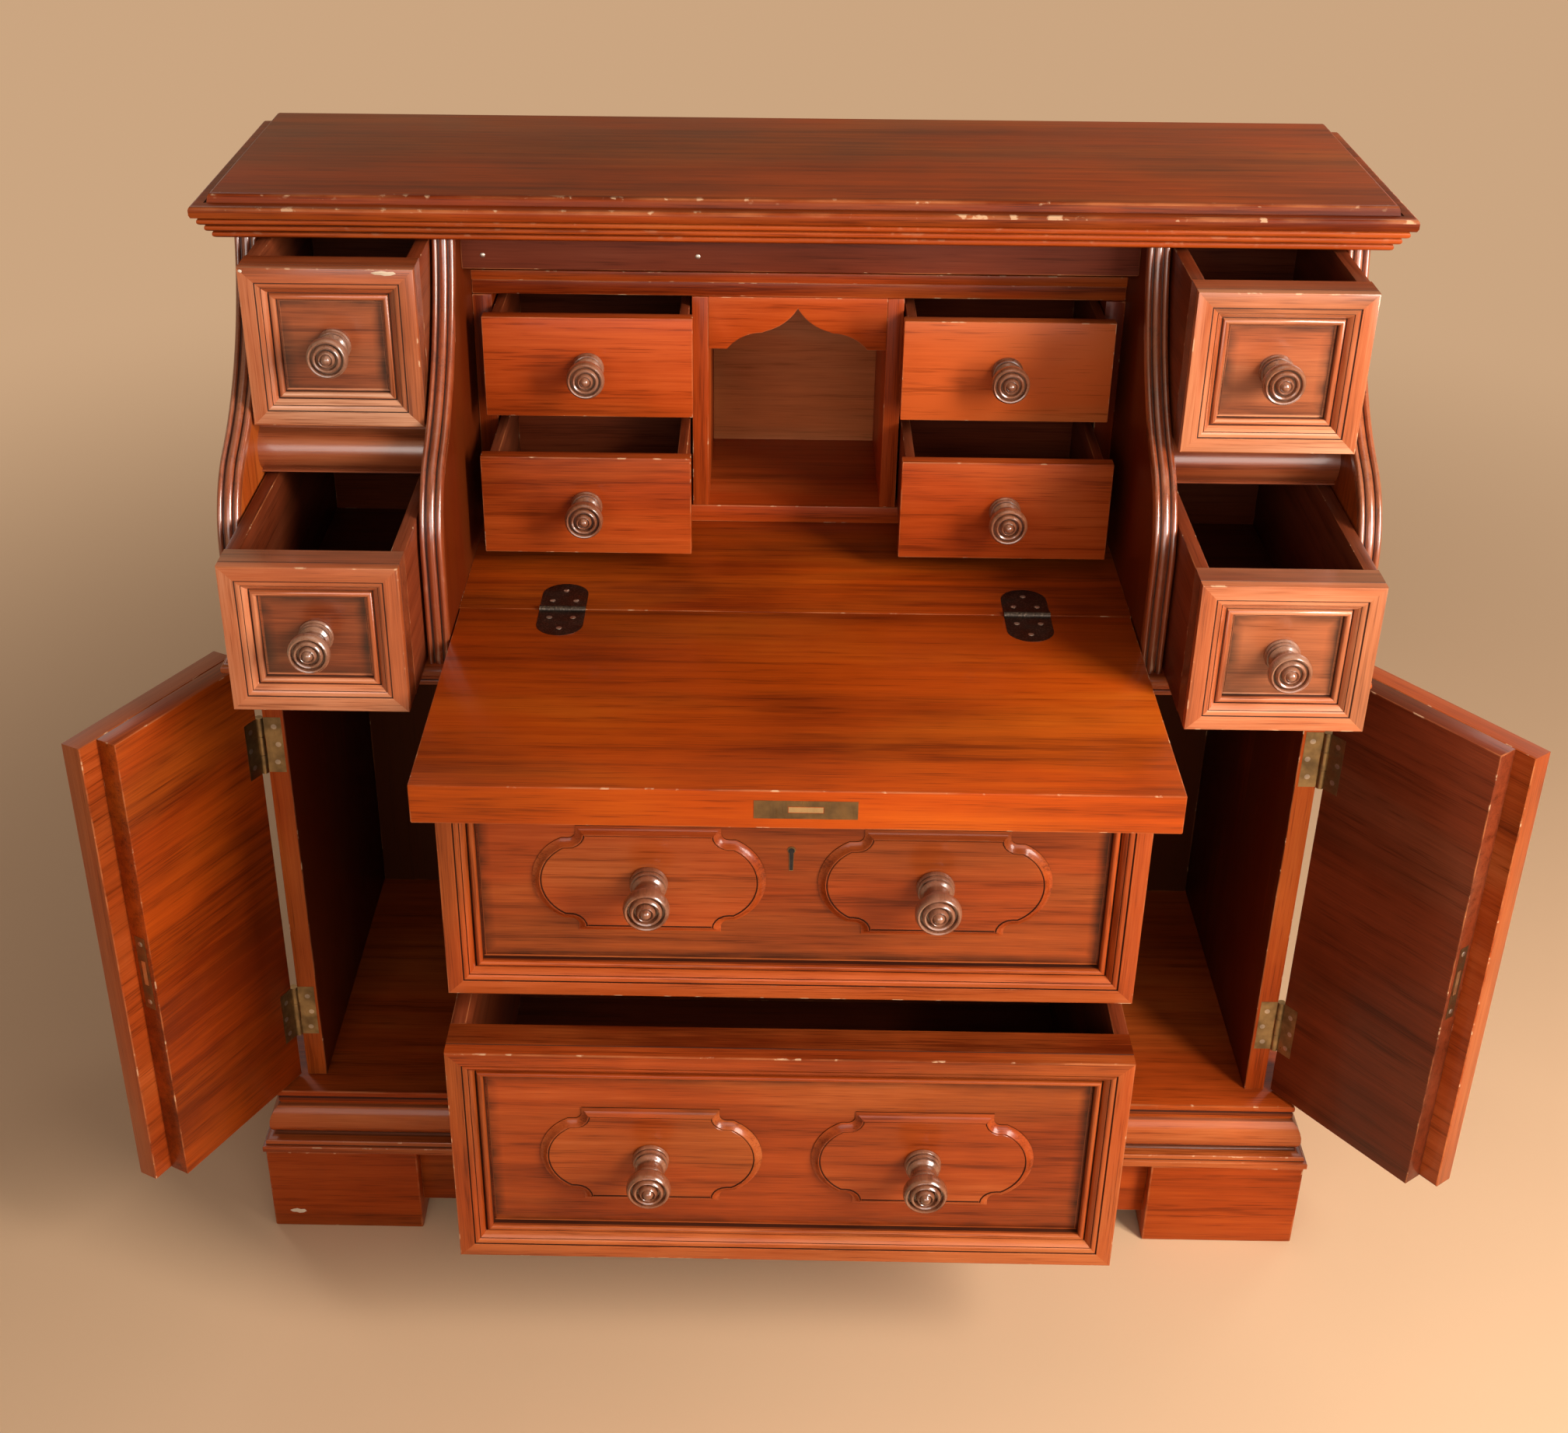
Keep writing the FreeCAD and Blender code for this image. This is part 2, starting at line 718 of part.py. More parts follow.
def cartouche(x, z, seat):
    """A raised plate with straight top and foot, notched shoulders and round ends."""
    half = cartouche_straight / 2
    head = cartouche_height / 2
    shoulder = head - cartouche_notch
    shoulder_end = half + cartouche_notch
    edges = []
    for sign in (1, -1):
        upper = [(-half, head), (half, head), (half, shoulder), (shoulder_end, shoulder)]
        bend = [(shoulder_end, shoulder), (cartouche_width / 2, 0), (shoulder_end, -shoulder)]
        lower = [(shoulder_end, -shoulder), (half, -shoulder), (half, -head)]
        upper, bend, lower = [[Vector(x + sign * u, seat, z + sign * w) for u, w in run]
                              for run in (upper, bend, lower)]
        edges += lines(upper) + [Part.Arc(*bend).toShape()] + lines(lower)
    return Part.Face(Part.Wire(edges)).extrude(BACKWARD * -cartouche_thickness)


def side_drawer(name, sign, face, z0, z1, pull):
    x0 = side_opening_inner + drawer_side_gap
    x1 = side_opening_outer - drawer_side_gap
    front_z0 = z0 + front_gap
    front_z1 = z1 - front_gap
    front = framed_front(x0, x1, front_z0, front_z1, face, side_board, side_frame, side_band, side_slope)
    box_front = face + side_frame + side_board
    boards = drawer_box(x0, x1, box_front, back_inner - box_back_gap,
                        z0 + running_gap, front_z1 - side_box_drop, side_drawer_side)
    turned = [knob((x0 + x1) / 2, (front_z0 + front_z1) / 2, face + side_frame,
                   side_knob_radius, side_knob_length)]
    for ending, shapes in (("front", front), ("box", boards), ("knob", turned)):
        placed = shapes if sign > 0 else [mirrored(shape) for shape in shapes]
        nodes[name + "_drawer_" + ending] = moved(placed, BACKWARD * -pull)


def case_drawer(name, sign, z0, pull):
    z1 = z0 + case_opening_height
    face = case_plane - running_gap - case_front_thickness
    front_x0 = case_opening_inner - case_front_lap
    front_x1 = case_opening_outer + case_front_lap
    front_z0 = z0 + case_front_gap
    front_z1 = z1 - case_front_gap
    front = box(front_x0, front_x1, face, face + case_front_thickness, front_z0, front_z1)
    boards = drawer_box(case_opening_inner + drawer_side_gap, case_opening_outer - drawer_side_gap,
                        face + case_front_thickness, back_inner - box_back_gap,
                        z0 + running_gap, front_z1 - case_box_drop, case_drawer_side)
    turned = [knob((front_x0 + front_x1) / 2, (front_z0 + front_z1) / 2, face,
                   case_knob_radius, case_knob_length)]
    for ending, shapes in (("drawer", [front] + boards), ("knob", turned)):
        placed = shapes if sign > 0 else [mirrored(shape) for shape in shapes]
        nodes[name + "_" + ending] = moved(placed, BACKWARD * -pull)


long_half = gap_half - drawer_side_gap / 2
long_face = front_plane - long_board - long_frame


def long_drawer(name, z0, z1, pull):
    front_z0 = z0 + front_gap
    front_z1 = z1 - front_gap
    seat = long_face + long_frame
    middle = (front_z0 + front_z1) / 2 - cartouche_drop
    places = (-cartouche_spacing / 2, cartouche_spacing / 2)
    front = framed_front(-long_half, long_half, front_z0, front_z1, long_face, long_board, long_frame,
                         long_band, long_slope)
    front += [cartouche(x, middle, seat) for x in places]
    boards = drawer_box(-long_half, long_half, seat + long_board, back_inner - box_back_gap,
                        z0 + running_gap, front_z1 - long_box_drop, long_side)
    turned = [knob(x, middle, seat - cartouche_thickness, long_knob_radius, long_knob_length) for x in places]
    for ending, shapes in (("front", front), ("box", boards), ("knobs", turned)):
        nodes[name + "_long_drawer_" + ending] = moved(shapes, BACKWARD * -pull)


side_drawer("upper_left", -1, upper_face, side_rail_top, cornice_bottom, upper_left_pull)
side_drawer("upper_right", 1, upper_face, side_rail_top, cornice_bottom, upper_right_pull)
side_drawer("lower_left", -1, lower_face, waist_top, side_rail_bottom, lower_left_pull)
side_drawer("lower_right", 1, lower_face, waist_top, side_rail_bottom, lower_right_pull)
case_drawer("case_upper_left", -1, case_shelf_top, case_upper_left_pull)
case_drawer("case_upper_right", 1, case_shelf_top, case_upper_right_pull)
case_drawer("case_lower_left", -1, case_bottom_top, case_lower_left_pull)
case_drawer("case_lower_right", 1, case_bottom_top, case_lower_right_pull)
long_drawer("upper", divider_top, flap_bottom, upper_long_pull)
long_drawer("lower", base_floor_top, divider_bottom, lower_long_pull)


# Fall: a thick board with its hinge leaves, its lock plate and the bolt
flap_front = hinge_line - flap_length
flap_lock_z = writing_height - flap_thickness / 2


def flap_bolt(grow):
    return box(flap_lock_shift - bolt_width / 2 - grow, flap_lock_shift + bolt_width / 2 + grow,
               flap_front - grow, flap_front + bolt_length + grow,
               flap_lock_z - bolt_thickness / 2 - grow, flap_lock_z + bolt_thickness / 2 + grow)


def flap_lock_plate():
    return box(flap_lock_shift - flap_plate_width / 2, flap_lock_shift + flap_plate_width / 2,
               flap_front, flap_front + plate_thickness,
               flap_lock_z - flap_plate_height / 2, flap_lock_z + flap_plate_height / 2)


def flap_board():
    half = gap_half - flap_side_gap
    board = box(-half, half, flap_front, hinge_line - flap_joint_gap / 2, flap_bottom, writing_height)
    mortises = at_flap_hinges(opened(flap_mortise(1)))
    return board.cut(mortises + [flap_lock_plate(), flap_bolt(bolt_clearance)])


nodes["flap_board"] = [flap_board()]
nodes["flap_hinge_leaves"] = at_flap_hinges(opened([flap_leaf(1, MOVING_SPANS)]))
nodes["flap_lock_plate"] = [flap_lock_plate().cut(flap_bolt(bolt_clearance))]
nodes["flap_bolt"] = [flap_bolt(0)]


# Doors, built closed on the right side and then swung open on their hinge line
def door(name, sign, angle):
    edge = gap_half + door_lip_gap
    hinge_edge = carcass_half
    inner_face = front_plane - door_seat_gap
    face = door_board_front - door_frame
    lip = door_edge - edge
    board = box(door_edge, hinge_edge, door_board_front, inner_face, door_bottom, door_top)
    board = board.cut(at_door_hinges(door_mortise(1)) + [door_lock_plate(), door_bolt(bolt_clearance)])
    frame = frame_ring(edge, hinge_edge, door_bottom, door_top, face, door_frame,
                       (door_band + lip / 2, door_band, door_band, door_band), door_slope)
    pieces = {
        "board": [board],
        "frame": [frame],
        "hinge_leaves": at_door_hinges([door_leaf(1, MOVING_SPANS)]),
        "lock_plate": [door_lock_plate().cut(door_bolt(bolt_clearance))],
        "bolt": [door_bolt(0)],
    }
    for ending, shapes in pieces.items():
        swung = [shape.rotated(door_hinge_axis, UP, angle) for shape in shapes]
        nodes[name + "_door_" + ending] = swung if sign > 0 else [mirrored(shape) for shape in swung]


door("left", -1, left_door_angle)
door("right", 1, right_door_angle)

os.makedirs("parts", exist_ok=True)
for node, shapes in nodes.items():
    save(node, shapes)
print(len(nodes), "nodes")
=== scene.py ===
# %% [markdown]
# # A davenport desk in polished mahogany
# The desk's solids come ready made from its CAD model, each in its place and in metres. This lesson
# dresses them: plain boards get eased and worn edges, mouldings get their beads and hollows, knobs are
# turned, and every surface gets a finish. The solids stay as they are, and each new piece stands for
# one or more of them.

# %% Load the solid desk
import math

import bmesh
import bpy
from bmesh.types import BMEdge, BMFace, BMVert
from mathutils import Matrix, Vector


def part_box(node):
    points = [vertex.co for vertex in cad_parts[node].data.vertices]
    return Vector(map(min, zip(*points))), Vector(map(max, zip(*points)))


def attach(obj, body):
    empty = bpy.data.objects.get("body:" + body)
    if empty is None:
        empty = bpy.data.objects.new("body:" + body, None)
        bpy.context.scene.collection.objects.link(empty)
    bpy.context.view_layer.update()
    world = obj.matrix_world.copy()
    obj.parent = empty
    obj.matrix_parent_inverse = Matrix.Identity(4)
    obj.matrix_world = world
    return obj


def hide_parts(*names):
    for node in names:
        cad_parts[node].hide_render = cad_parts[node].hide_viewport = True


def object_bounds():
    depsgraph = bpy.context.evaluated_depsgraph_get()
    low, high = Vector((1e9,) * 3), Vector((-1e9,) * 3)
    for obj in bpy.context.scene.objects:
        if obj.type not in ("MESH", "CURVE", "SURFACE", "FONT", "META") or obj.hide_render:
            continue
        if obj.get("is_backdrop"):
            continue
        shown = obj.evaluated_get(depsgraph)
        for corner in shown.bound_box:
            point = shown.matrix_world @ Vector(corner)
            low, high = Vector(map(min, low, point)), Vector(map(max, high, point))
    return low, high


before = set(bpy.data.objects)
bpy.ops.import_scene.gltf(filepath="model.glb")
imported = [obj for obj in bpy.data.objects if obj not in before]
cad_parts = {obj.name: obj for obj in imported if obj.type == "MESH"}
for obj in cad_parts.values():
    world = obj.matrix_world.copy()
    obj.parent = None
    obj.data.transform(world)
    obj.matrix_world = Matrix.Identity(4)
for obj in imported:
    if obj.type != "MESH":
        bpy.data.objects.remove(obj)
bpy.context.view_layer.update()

MM = 0.001

# %% [markdown]
# ## Shader maths as arithmetic
# A finish is a small sum of patterns. Drawing such sums as nodes is slow to read, so a socket is wrapped
# in a class that knows plus, minus and times: an expression then adds its own Math nodes.

# %% A socket that takes part in sums
def operator(name, swapped=False):
    """A method that adds a Math node, with the signal first or second."""
    def apply(self, other):
        first, second = (other, self) if swapped else (self, other)
        return self.graph.node("ShaderNodeMath", {"operation": name}, {0: first, 1: second})

    return apply


class Signal:
    def __init__(self, graph, socket):
        self.graph = graph
        self.socket = socket

    __add__ = operator("ADD")
    __radd__ = operator("ADD", True)
    __sub__ = operator("SUBTRACT")
    __rsub__ = operator("SUBTRACT", True)
    __mul__ = operator("MULTIPLY")
    __rmul__ = operator("MULTIPLY", True)
    __gt__ = operator("GREATER_THAN")
    larger = operator("MAXIMUM")

    def between(self, low, high):
        """A smooth step: 0 below low and 1 above high."""
        settings = {"interpolation_type": "SMOOTHSTEP"}
        inputs = {"Value": self, "From Min": low, "From Max": high}
        return self.graph.node("ShaderNodeMapRange", settings, inputs)


class Graph:
    """A node tree in the making, with one method that adds any node."""

    def __init__(self, tree, output):
        self.tree = tree
        tree.nodes.clear()
        self.surface = tree.nodes.new(output).inputs["Surface"]

    def join(self, value, socket):
        if isinstance(value, Signal):
            self.tree.links.new(value.socket, socket)
        else:
            socket.default_value = value

    def node(self, kind, settings=None, inputs=None, output=0):
        made = self.tree.nodes.new(kind)
        for key, value in (settings or {}).items():
            if key == "stops":
                while len(made.color_ramp.elements) < len(value):
                    made.color_ramp.elements.new(0.5)
                for element, (place, colour) in zip(made.color_ramp.elements, value):
                    element.position = place
                    element.color = (*colour, 1.0)
            else:
                setattr(made, key, value)
        for key, value in (inputs or {}).items():
            self.join(value, made.inputs[key])
        return Signal(self, made.outputs[output])


class Finish(Graph):
    """A material with a Principled shader and a few patterns to feed it."""

    def __init__(self, name):
        self.material = bpy.data.materials.new(name)
        self.material.use_nodes = True
        super().__init__(self.material.node_tree, "ShaderNodeOutputMaterial")
        self.shader = self.tree.nodes.new("ShaderNodeBsdfPrincipled")
        self.tree.links.new(self.shader.outputs[0], self.surface)

    def attribute(self, name, output):
        return self.node("ShaderNodeAttribute", {"attribute_name": name}, output=output)

    def noise(self, vector, stretch, detail=3.0, distortion=0.0):
        """Noise drawn out by a scale on each axis, in waves per metre."""
        mapped = self.node("ShaderNodeMapping", None, {"Vector": vector, "Scale": stretch})
        return self.node("ShaderNodeTexNoise", None,
                         {"Vector": mapped, "Scale": 1.0, "Detail": detail, "Distortion": distortion})

    def blend(self, share, first, second):
        """Colours mixed by a share that varies over the surface."""
        return self.node("ShaderNodeMix", {"data_type": "RGBA"}, {0: share, 6: first, 7: second}, output=2)

    def set(self, **sockets):
        for key, value in sockets.items():
            self.join(value, self.shader.inputs[key.replace("_", " ")])

    def bump(self, height, strength, distance):
        inputs = {"Strength": strength, "Distance": distance, "Height": height}
        self.set(Normal=self.node("ShaderNodeBump", None, inputs))


# %% [markdown]
# ## Mahogany
# Mahogany shows three scales at once: broad bands of darker and lighter red, finer streaks, and short
# dark pores, with yellower patches here and there, under a coat of polish. All run along the board, so the
# patterns read a grain vector that every board carries, with its long way first. Old polish is lost where
# hands and knocks reach, so an attribute that marks edges lets a paler wood show through, which is also a
# painted highlight along the edges. The same attribute below zero paints quirks near black: painted shade
# in the crease, with dirt. Soil and shade is a second attribute, kept on corners instead of faces, so that
# the painted shade and dirt fade out over a panel.

# %% A wood finish
RUBBED_AND_HIGHLIT_WOOD = (0.46, 0.150, 0.052, 1.0)
CHIPPED_WOOD = (0.66, 0.420, 0.240, 1.0)
GRIME_AND_SHADE = (0.014, 0.004, 0.002, 1.0)


def mahogany(name, dark, middle, light, gloss=0.42, wear=1.0, coat=0.15, coat_gloss=0.17, sheen=0.12):
    finish = Finish(name)
    grain = finish.attribute("grain", "Vector")
    edge = finish.attribute("edge", "Fac")
    tone = finish.attribute("tone", "Fac")
    soil = finish.attribute("soil", "Fac")
    bands = finish.noise(grain, (0.9, 11.0, 11.0), 3.0, 0.6)
    streaks = finish.noise(grain, (3.0, 120.0, 120.0), 4.0, 0.2)
    hairs = finish.noise(grain, (22.0, 900.0, 900.0), 2.0)
    clouds = finish.noise(grain, (4.5, 7.0, 7.0), 4.0)
    shade = 0.5 + (bands - 0.5) * 0.55 + (streaks - 0.5) * 0.42 + (hairs - 0.5) * 0.34
    shade = shade + (clouds - 0.5) * 0.65 + tone * 0.07
    stops = [(0.14, dark), (0.50, middle), (0.86, light)]
    golden = [(place, (red, green * 1.45, blue * 2.0)) for place, (red, green, blue) in stops]
    colour = finish.node("ShaderNodeValToRGB", {"stops": stops}, {"Fac": shade})
    yellower = finish.node("ShaderNodeValToRGB", {"stops": golden}, {"Fac": shade})
    patches = finish.noise(grain, (2.2, 8.0, 8.0), 3.0, 0.5).between(0.42, 0.66)
    colour = finish.blend(patches * 0.75, colour, yellower)
    pores = (hairs * streaks).between(0.20, 0.13)
    colour = finish.blend(pores * 0.35, colour, (*[0.5 * part for part in dark], 1.0))
    # Painted shade with dirt, darkening panel rims and knob hollows.
    soiled_and_shaded = soil * finish.noise(grain, (18.0, 50.0, 50.0), 4.0).between(0.20, 0.70)
    colour = finish.blend(soiled_and_shaded * 0.85, colour, GRIME_AND_SHADE)
    at_edge = edge.between(0.2, 0.9) * wear
    # Painted highlight with wear: rubbed edges turn paler.
    rubbed_and_highlit = at_edge * finish.noise(grain, (14.0, 40.0, 40.0), 4.0).between(0.38, 0.70)
    chipped = at_edge * finish.noise(grain, (70.0, 90.0, 90.0), 4.0).between(0.60, 0.67)
    colour = finish.blend(rubbed_and_highlit * 0.6, colour, RUBBED_AND_HIGHLIT_WOOD)
    colour = finish.blend(chipped * 0.6, colour, CHIPPED_WOOD)
    # Painted shade with dirt: below zero the edge attribute darkens creases near black.
    dirt_and_shade = edge.between(-0.2, -0.9)
    colour = finish.blend(dirt_and_shade * 0.9, colour, GRIME_AND_SHADE)
    smear = finish.noise(grain, (9.0, 14.0, 14.0), 4.0)
    finish.set(Base_Color=colour, Roughness=gloss + (smear - 0.5) * 0.2 + chipped * 0.3 + dirt_and_shade * 0.25)
    finish.set(Coat_Weight=coat * (1.3 - smear * 0.6 - dirt_and_shade * 0.7), Coat_Roughness=coat_gloss)
    finish.set(Specular_IOR_Level=sheen)
    height = hairs * 0.6 + streaks - chipped * 0.6
    finish.bump(height, 0.10, 0.0006)
    return finish.material


CARCASS = mahogany("carcass_mahogany", (0.095, 0.011, 0.001), (0.290, 0.040, 0.004), (0.450, 0.080, 0.010),
                   coat=0.05)
POLISHED = mahogany("polished_mahogany", (0.090, 0.013, 0.003), (0.250, 0.045, 0.011), (0.400, 0.100, 0.030),
                    gloss=0.30, wear=0.8, coat=1.0, coat_gloss=0.20, sheen=0.8)
FRONT = mahogany("front_mahogany", (0.090, 0.009, 0.001), (0.300, 0.045, 0.006), (0.480, 0.100, 0.022),
                 gloss=0.37, coat=0.35)
SHEEN_PAINTED = mahogany("sheen_painted_mahogany", (0.130, 0.021, 0.004), (0.385, 0.086, 0.024), (0.610, 0.220, 0.095),
                 gloss=0.34, coat=0.8, coat_gloss=0.20, sheen=0.4)
CASE = mahogany("case_mahogany", (0.120, 0.012, 0.001), (0.355, 0.046, 0.005), (0.520, 0.090, 0.016),
                gloss=0.40)
WRITING = mahogany("writing_mahogany", (0.130, 0.014, 0.001), (0.370, 0.048, 0.002), (0.540, 0.088, 0.004))
INSIDE = mahogany("inside_wood", (0.070, 0.016, 0.004), (0.170, 0.040, 0.010), (0.260, 0.075, 0.022),
                  gloss=0.50, wear=0.7, coat=0.0)
LIT_LINING = mahogany("lit_lining_wood", (0.300, 0.078, 0.022), (0.520, 0.142, 0.042), (0.660, 0.210, 0.075),
                  wear=0.7, coat=0.0)
BOX = mahogany("box_mahogany", (0.060, 0.009, 0.002), (0.150, 0.025, 0.007), (0.250, 0.050, 0.015), wear=0.9)
DUSKY = mahogany("dusky_mahogany", (0.060, 0.011, 0.005), (0.130, 0.024, 0.010), (0.190, 0.044, 0.019))
TURNED = mahogany("turned_mahogany", (0.090, 0.024, 0.010), (0.220, 0.070, 0.030), (0.340, 0.135, 0.068),
                  gloss=0.28, wear=0.5, coat=1.0, coat_gloss=0.10, sheen=0.7)
BARE = mahogany("bare_wood", (0.480, 0.330, 0.210), (0.680, 0.530, 0.380), (0.800, 0.680, 0.540), coat=0.0)
print("wood finishes: 12")

# %% [markdown]
# ## Brass, old and handled
# The hinges, lock plates and bolts are brass that has dulled to olive brown, brighter where it is rubbed.
# The fall's hinges have gone nearly black. One finish can serve both, because they lie at different heights.

# %% A metal finish
def old_brass(name, bright, dull, black_above=None):
    finish = Finish(name)
    place = finish.node("ShaderNodeTexCoord", output="Object")
    stain = finish.noise(place, (60.0, 60.0, 60.0), 4.0).between(0.25, 0.75)
    rubbing = finish.noise(place, (700.0, 700.0, 90.0), 3.0).between(0.45, 0.75)
    colour = finish.blend(stain, (*bright, 1.0), (*dull, 1.0))
    if black_above is not None:
        height = finish.node("ShaderNodeSeparateXYZ", None, {"Vector": place}, output="Z")
        black = finish.blend(rubbing * 0.5, (0.050, 0.040, 0.034, 1.0), (0.22, 0.17, 0.13, 1.0))
        colour = finish.blend(height > black_above, colour, black)
    finish.set(Base_Color=colour, Metallic=1.0, Roughness=0.30 + stain * 0.22 - rubbing * 0.08)
    finish.bump(stain + rubbing, 0.15, 0.0004)
    return finish.material


FALL_HINGE_HEIGHT = 0.70
BRASS = old_brass("aged_brass", (0.32, 0.22, 0.11), (0.15, 0.10, 0.05))
HINGE = old_brass("hinge_metal", (0.36, 0.27, 0.14), (0.17, 0.12, 0.06), FALL_HINGE_HEIGHT)
BOLT = old_brass("rubbed_brass", (0.74, 0.58, 0.32), (0.52, 0.38, 0.19))
STEEL = old_brass("screw_steel", (0.62, 0.56, 0.48), (0.30, 0.26, 0.22))


# The keyhole is a thin black plate: painted shade for the dark inside the hole.
def keyhole_black():
    finish = Finish("keyhole_black")
    place = finish.node("ShaderNodeTexCoord", output="Object")
    dust = finish.noise(place, (300.0, 300.0, 300.0)).between(0.4, 0.8)
    colour = finish.blend(dust, (0.004, 0.003, 0.003, 1.0), (0.02, 0.012, 0.008, 1.0))
    finish.set(Base_Color=colour, Roughness=0.8)
    return finish.material


HOLLOW = keyhole_black()

# %% [markdown]
# ## Joinery: boards that know their grain
# A piece is built in a bmesh, in millimetres because a maker thinks in them. Every face keeps three notes:
# the way its grain runs, the board that it belongs to, and how worn it is; below zero that note paints a
# crease dark, with shade and dirt. Corners keep painted shade and dirt too, which fades out over a face. At
# the end the notes become attributes, which the finishes read. This is sturdier than unwrapping hundreds of
# boards, and the figure then runs the right way on each member of a mitred frame.

# %% A piece of joinery
WELD = 0.01


def only(items, kind):
    """The items of one kind from what an operator made."""
    return [item for item in items if isinstance(item, kind)]


def once(items):
    """The items without repeats, in the order they come in, so that every run makes the same mesh."""
    return list(dict.fromkeys(items))


class Joinery:
    start = 0

    def __init__(self):
        self.bm = bmesh.new()
        layers = self.bm.faces.layers
        for values, name in ((layers.int, "along"), (layers.int, "board"), (layers.float, "edge"),
                             (layers.float, "tone")):
            values.new(name)
        self.along = layers.int["along"]
        self.number = layers.int["board"]
        self.edge = layers.float["edge"]
        self.tone = layers.float["tone"]
        self.soiled_and_shaded = self.bm.verts.layers.float.new("soil")
        self.boards = 0

    def fresh(self):
        """Faces that belong to no board yet."""
        return [face for face in self.bm.faces if face[self.number] == 0]

    def wear(self, faces, amount=1.0):
        for face in faces:
            face[self.edge] = amount

    def shade(self, faces, amount):
        """Makes faces lighter or darker than their finish."""
        for face in faces:
            face[self.tone] = amount

    # Marks corners with painted shade and dirt, which fade out over the face.
    def soil(self, verts):
        for vert in verts:
            vert[self.soiled_and_shaded] = 1.0

    def settle(self, along, smooth=False):
        """Makes one board of the fresh faces. The grain may differ from face to face, as in a frame."""
        faces = self.fresh()
        bmesh.ops.recalc_face_normals(self.bm, faces=faces)
        highest = self.boards
        for face in faces:
            axis, member = along(face) if callable(along) else (along, 1)
            face[self.along] = "xyz".index(axis)
            face[self.number] = self.boards + member
            face.smooth = smooth
            highest = max(highest, face[self.number])
        self.boards = highest

    def ease(self, edges, size, segments=2):
        """Takes the sharpness off edges and marks the new strips as worn, which paints them paler: wear and a
        painted highlight.
        """
        made = bmesh.ops.bevel(self.bm, geom=edges, offset=size, offset_type="OFFSET", segments=segments,
                               profile=0.5, affect="EDGES", material=-1, clamp_overlap=True)
        self.wear(made["faces"])

    def board(self, x, y, z, along, ease=1.0, tone=0.0):
        """A plank between two planes on each axis, with eased edges."""
        verts = bmesh.ops.create_cube(self.bm, size=1.0)["verts"]
        spans = [sorted(pair) for pair in (x, y, z)]
        bmesh.ops.scale(self.bm, vec=[high - low for low, high in spans], verts=verts)
        bmesh.ops.translate(self.bm, vec=[(low + high) / 2 for low, high in spans], verts=verts)
        self.ease(once(edge for vert in verts for edge in vert.link_edges), ease)
        self.shade(self.fresh(), tone)
        self.settle(along)

    def pair(self, x, *rest):
        """A board and its mirror image at the other side of the desk."""
        for ends in both(x):
            self.board(ends, *rest)

    def rings(self, stations, along, smooth=False):
        """Carries a face through stations, each a list of corners and a wear (below zero: painted shade and
        dirt): frames, nosings and plates.
        """
        corners = stations[0][0]
        face = self.bm.faces.new([self.bm.verts.new(corner) for corner in corners])
        for station, wear in stations[1:]:
            made = bmesh.ops.extrude_face_region(self.bm, geom=[face, *face.edges])
            face = only(made["geom"], BMFace)[0]
            for vert in face.verts:
                nearest = min(range(len(corners)), key=lambda index: (vert.co - corners[index]).length)
                vert.co = station[nearest]
            self.wear({wall for rim in face.edges for wall in rim.link_faces} - {face}, wear)
            corners = station
        self.settle(along, smooth)
        return face

    def trace(self, start, *moves, steps=8):
        """A closed outline. A move is a point for a line, or two points for an arc through the first."""
        first = self.bm.verts.new(start)
        last = first
        for move in moves:
            if isinstance(move, tuple):
                centre, axis, angle = three_point_arc(last.co, *move)
                made = bmesh.ops.spin(self.bm, geom=[last], cent=centre, axis=axis, angle=angle, steps=steps)
                last = only(made["geom_last"], BMVert)[0]
            else:
                last = bmesh.ops.extrude_vert_indiv(self.bm, verts=[last])["verts"][0]
                bmesh.ops.translate(self.bm, vec=move - last.co, verts=[last])
        bmesh.ops.contextual_create(self.bm, geom=[first, last])
        return [edge for edge in self.bm.edges if edge.is_wire]

    def plate(self, edges, thickness, along, ease=0.8):
        """A shaped board: the outline is filled, drawn out by its thickness, and eased round its rims."""
        face = bmesh.ops.contextual_create(self.bm, geom=edges)["faces"][0]
        made = bmesh.ops.extrude_face_region(self.bm, geom=[face])
        bmesh.ops.translate(self.bm, vec=thickness, verts=only(made["geom"], BMVert))
        flat = [item for item in self.fresh() if len(item.verts) > 4]
        if ease:
            self.ease(once(edge for item in flat for edge in item.edges), ease)
        self.settle(along)

    def turned(self, outline, place, axis_end, steps=40, dirt_and_shade_hollows=()):
        """A lathe: an outline of radius and height pairs, spun round a line. Hollows in it get painted shade
        and dirt.
        """
        axis = (axis_end - place).normalized()
        side = axis.orthogonal().normalized()
        verts = [self.bm.verts.new(place + side * radius + axis * rise) for radius, rise in outline]
        edges = [self.bm.edges.new(pair) for pair in zip(verts, verts[1:])]
        bmesh.ops.spin(self.bm, geom=verts + edges, cent=place, axis=axis, angle=2 * math.pi, steps=steps,
                       use_merge=True)
        bmesh.ops.remove_doubles(self.bm, verts=once(v for f in self.fresh() for v in f.verts), dist=WELD)
        for vert in once(vert for face in self.fresh() for vert in face.verts):
            rise = (vert.co - place).dot(axis)
            radius = (vert.co - place - axis * rise).length
            vert[self.soiled_and_shaded] = float(any(abs(radius - out) + abs(rise - up) < 0.05 for out, up in dirt_and_shade_hollows))
        self.settle("xyz"[max(range(3), key=lambda index: abs(axis[index]))], smooth=True)

    def lay_grain(self):
        """Writes each face's place along and across its grain, moved on for every board."""
        grain = self.bm.loops.layers.float_vector.new("grain")
        for face in self.bm.faces:
            first = face[self.along]
            step = face[self.number] + self.start
            face[self.tone] += 2 * ((step * 0.6180339) % 1) - 1
            shift = Vector((step * 0.37, step * 0.173, step * 0.291))
            for loop in face.loops:
                point = loop.vert.co * MM
                loop[grain] = shift + Vector([point[(first + turn) % 3] for turn in range(3)])

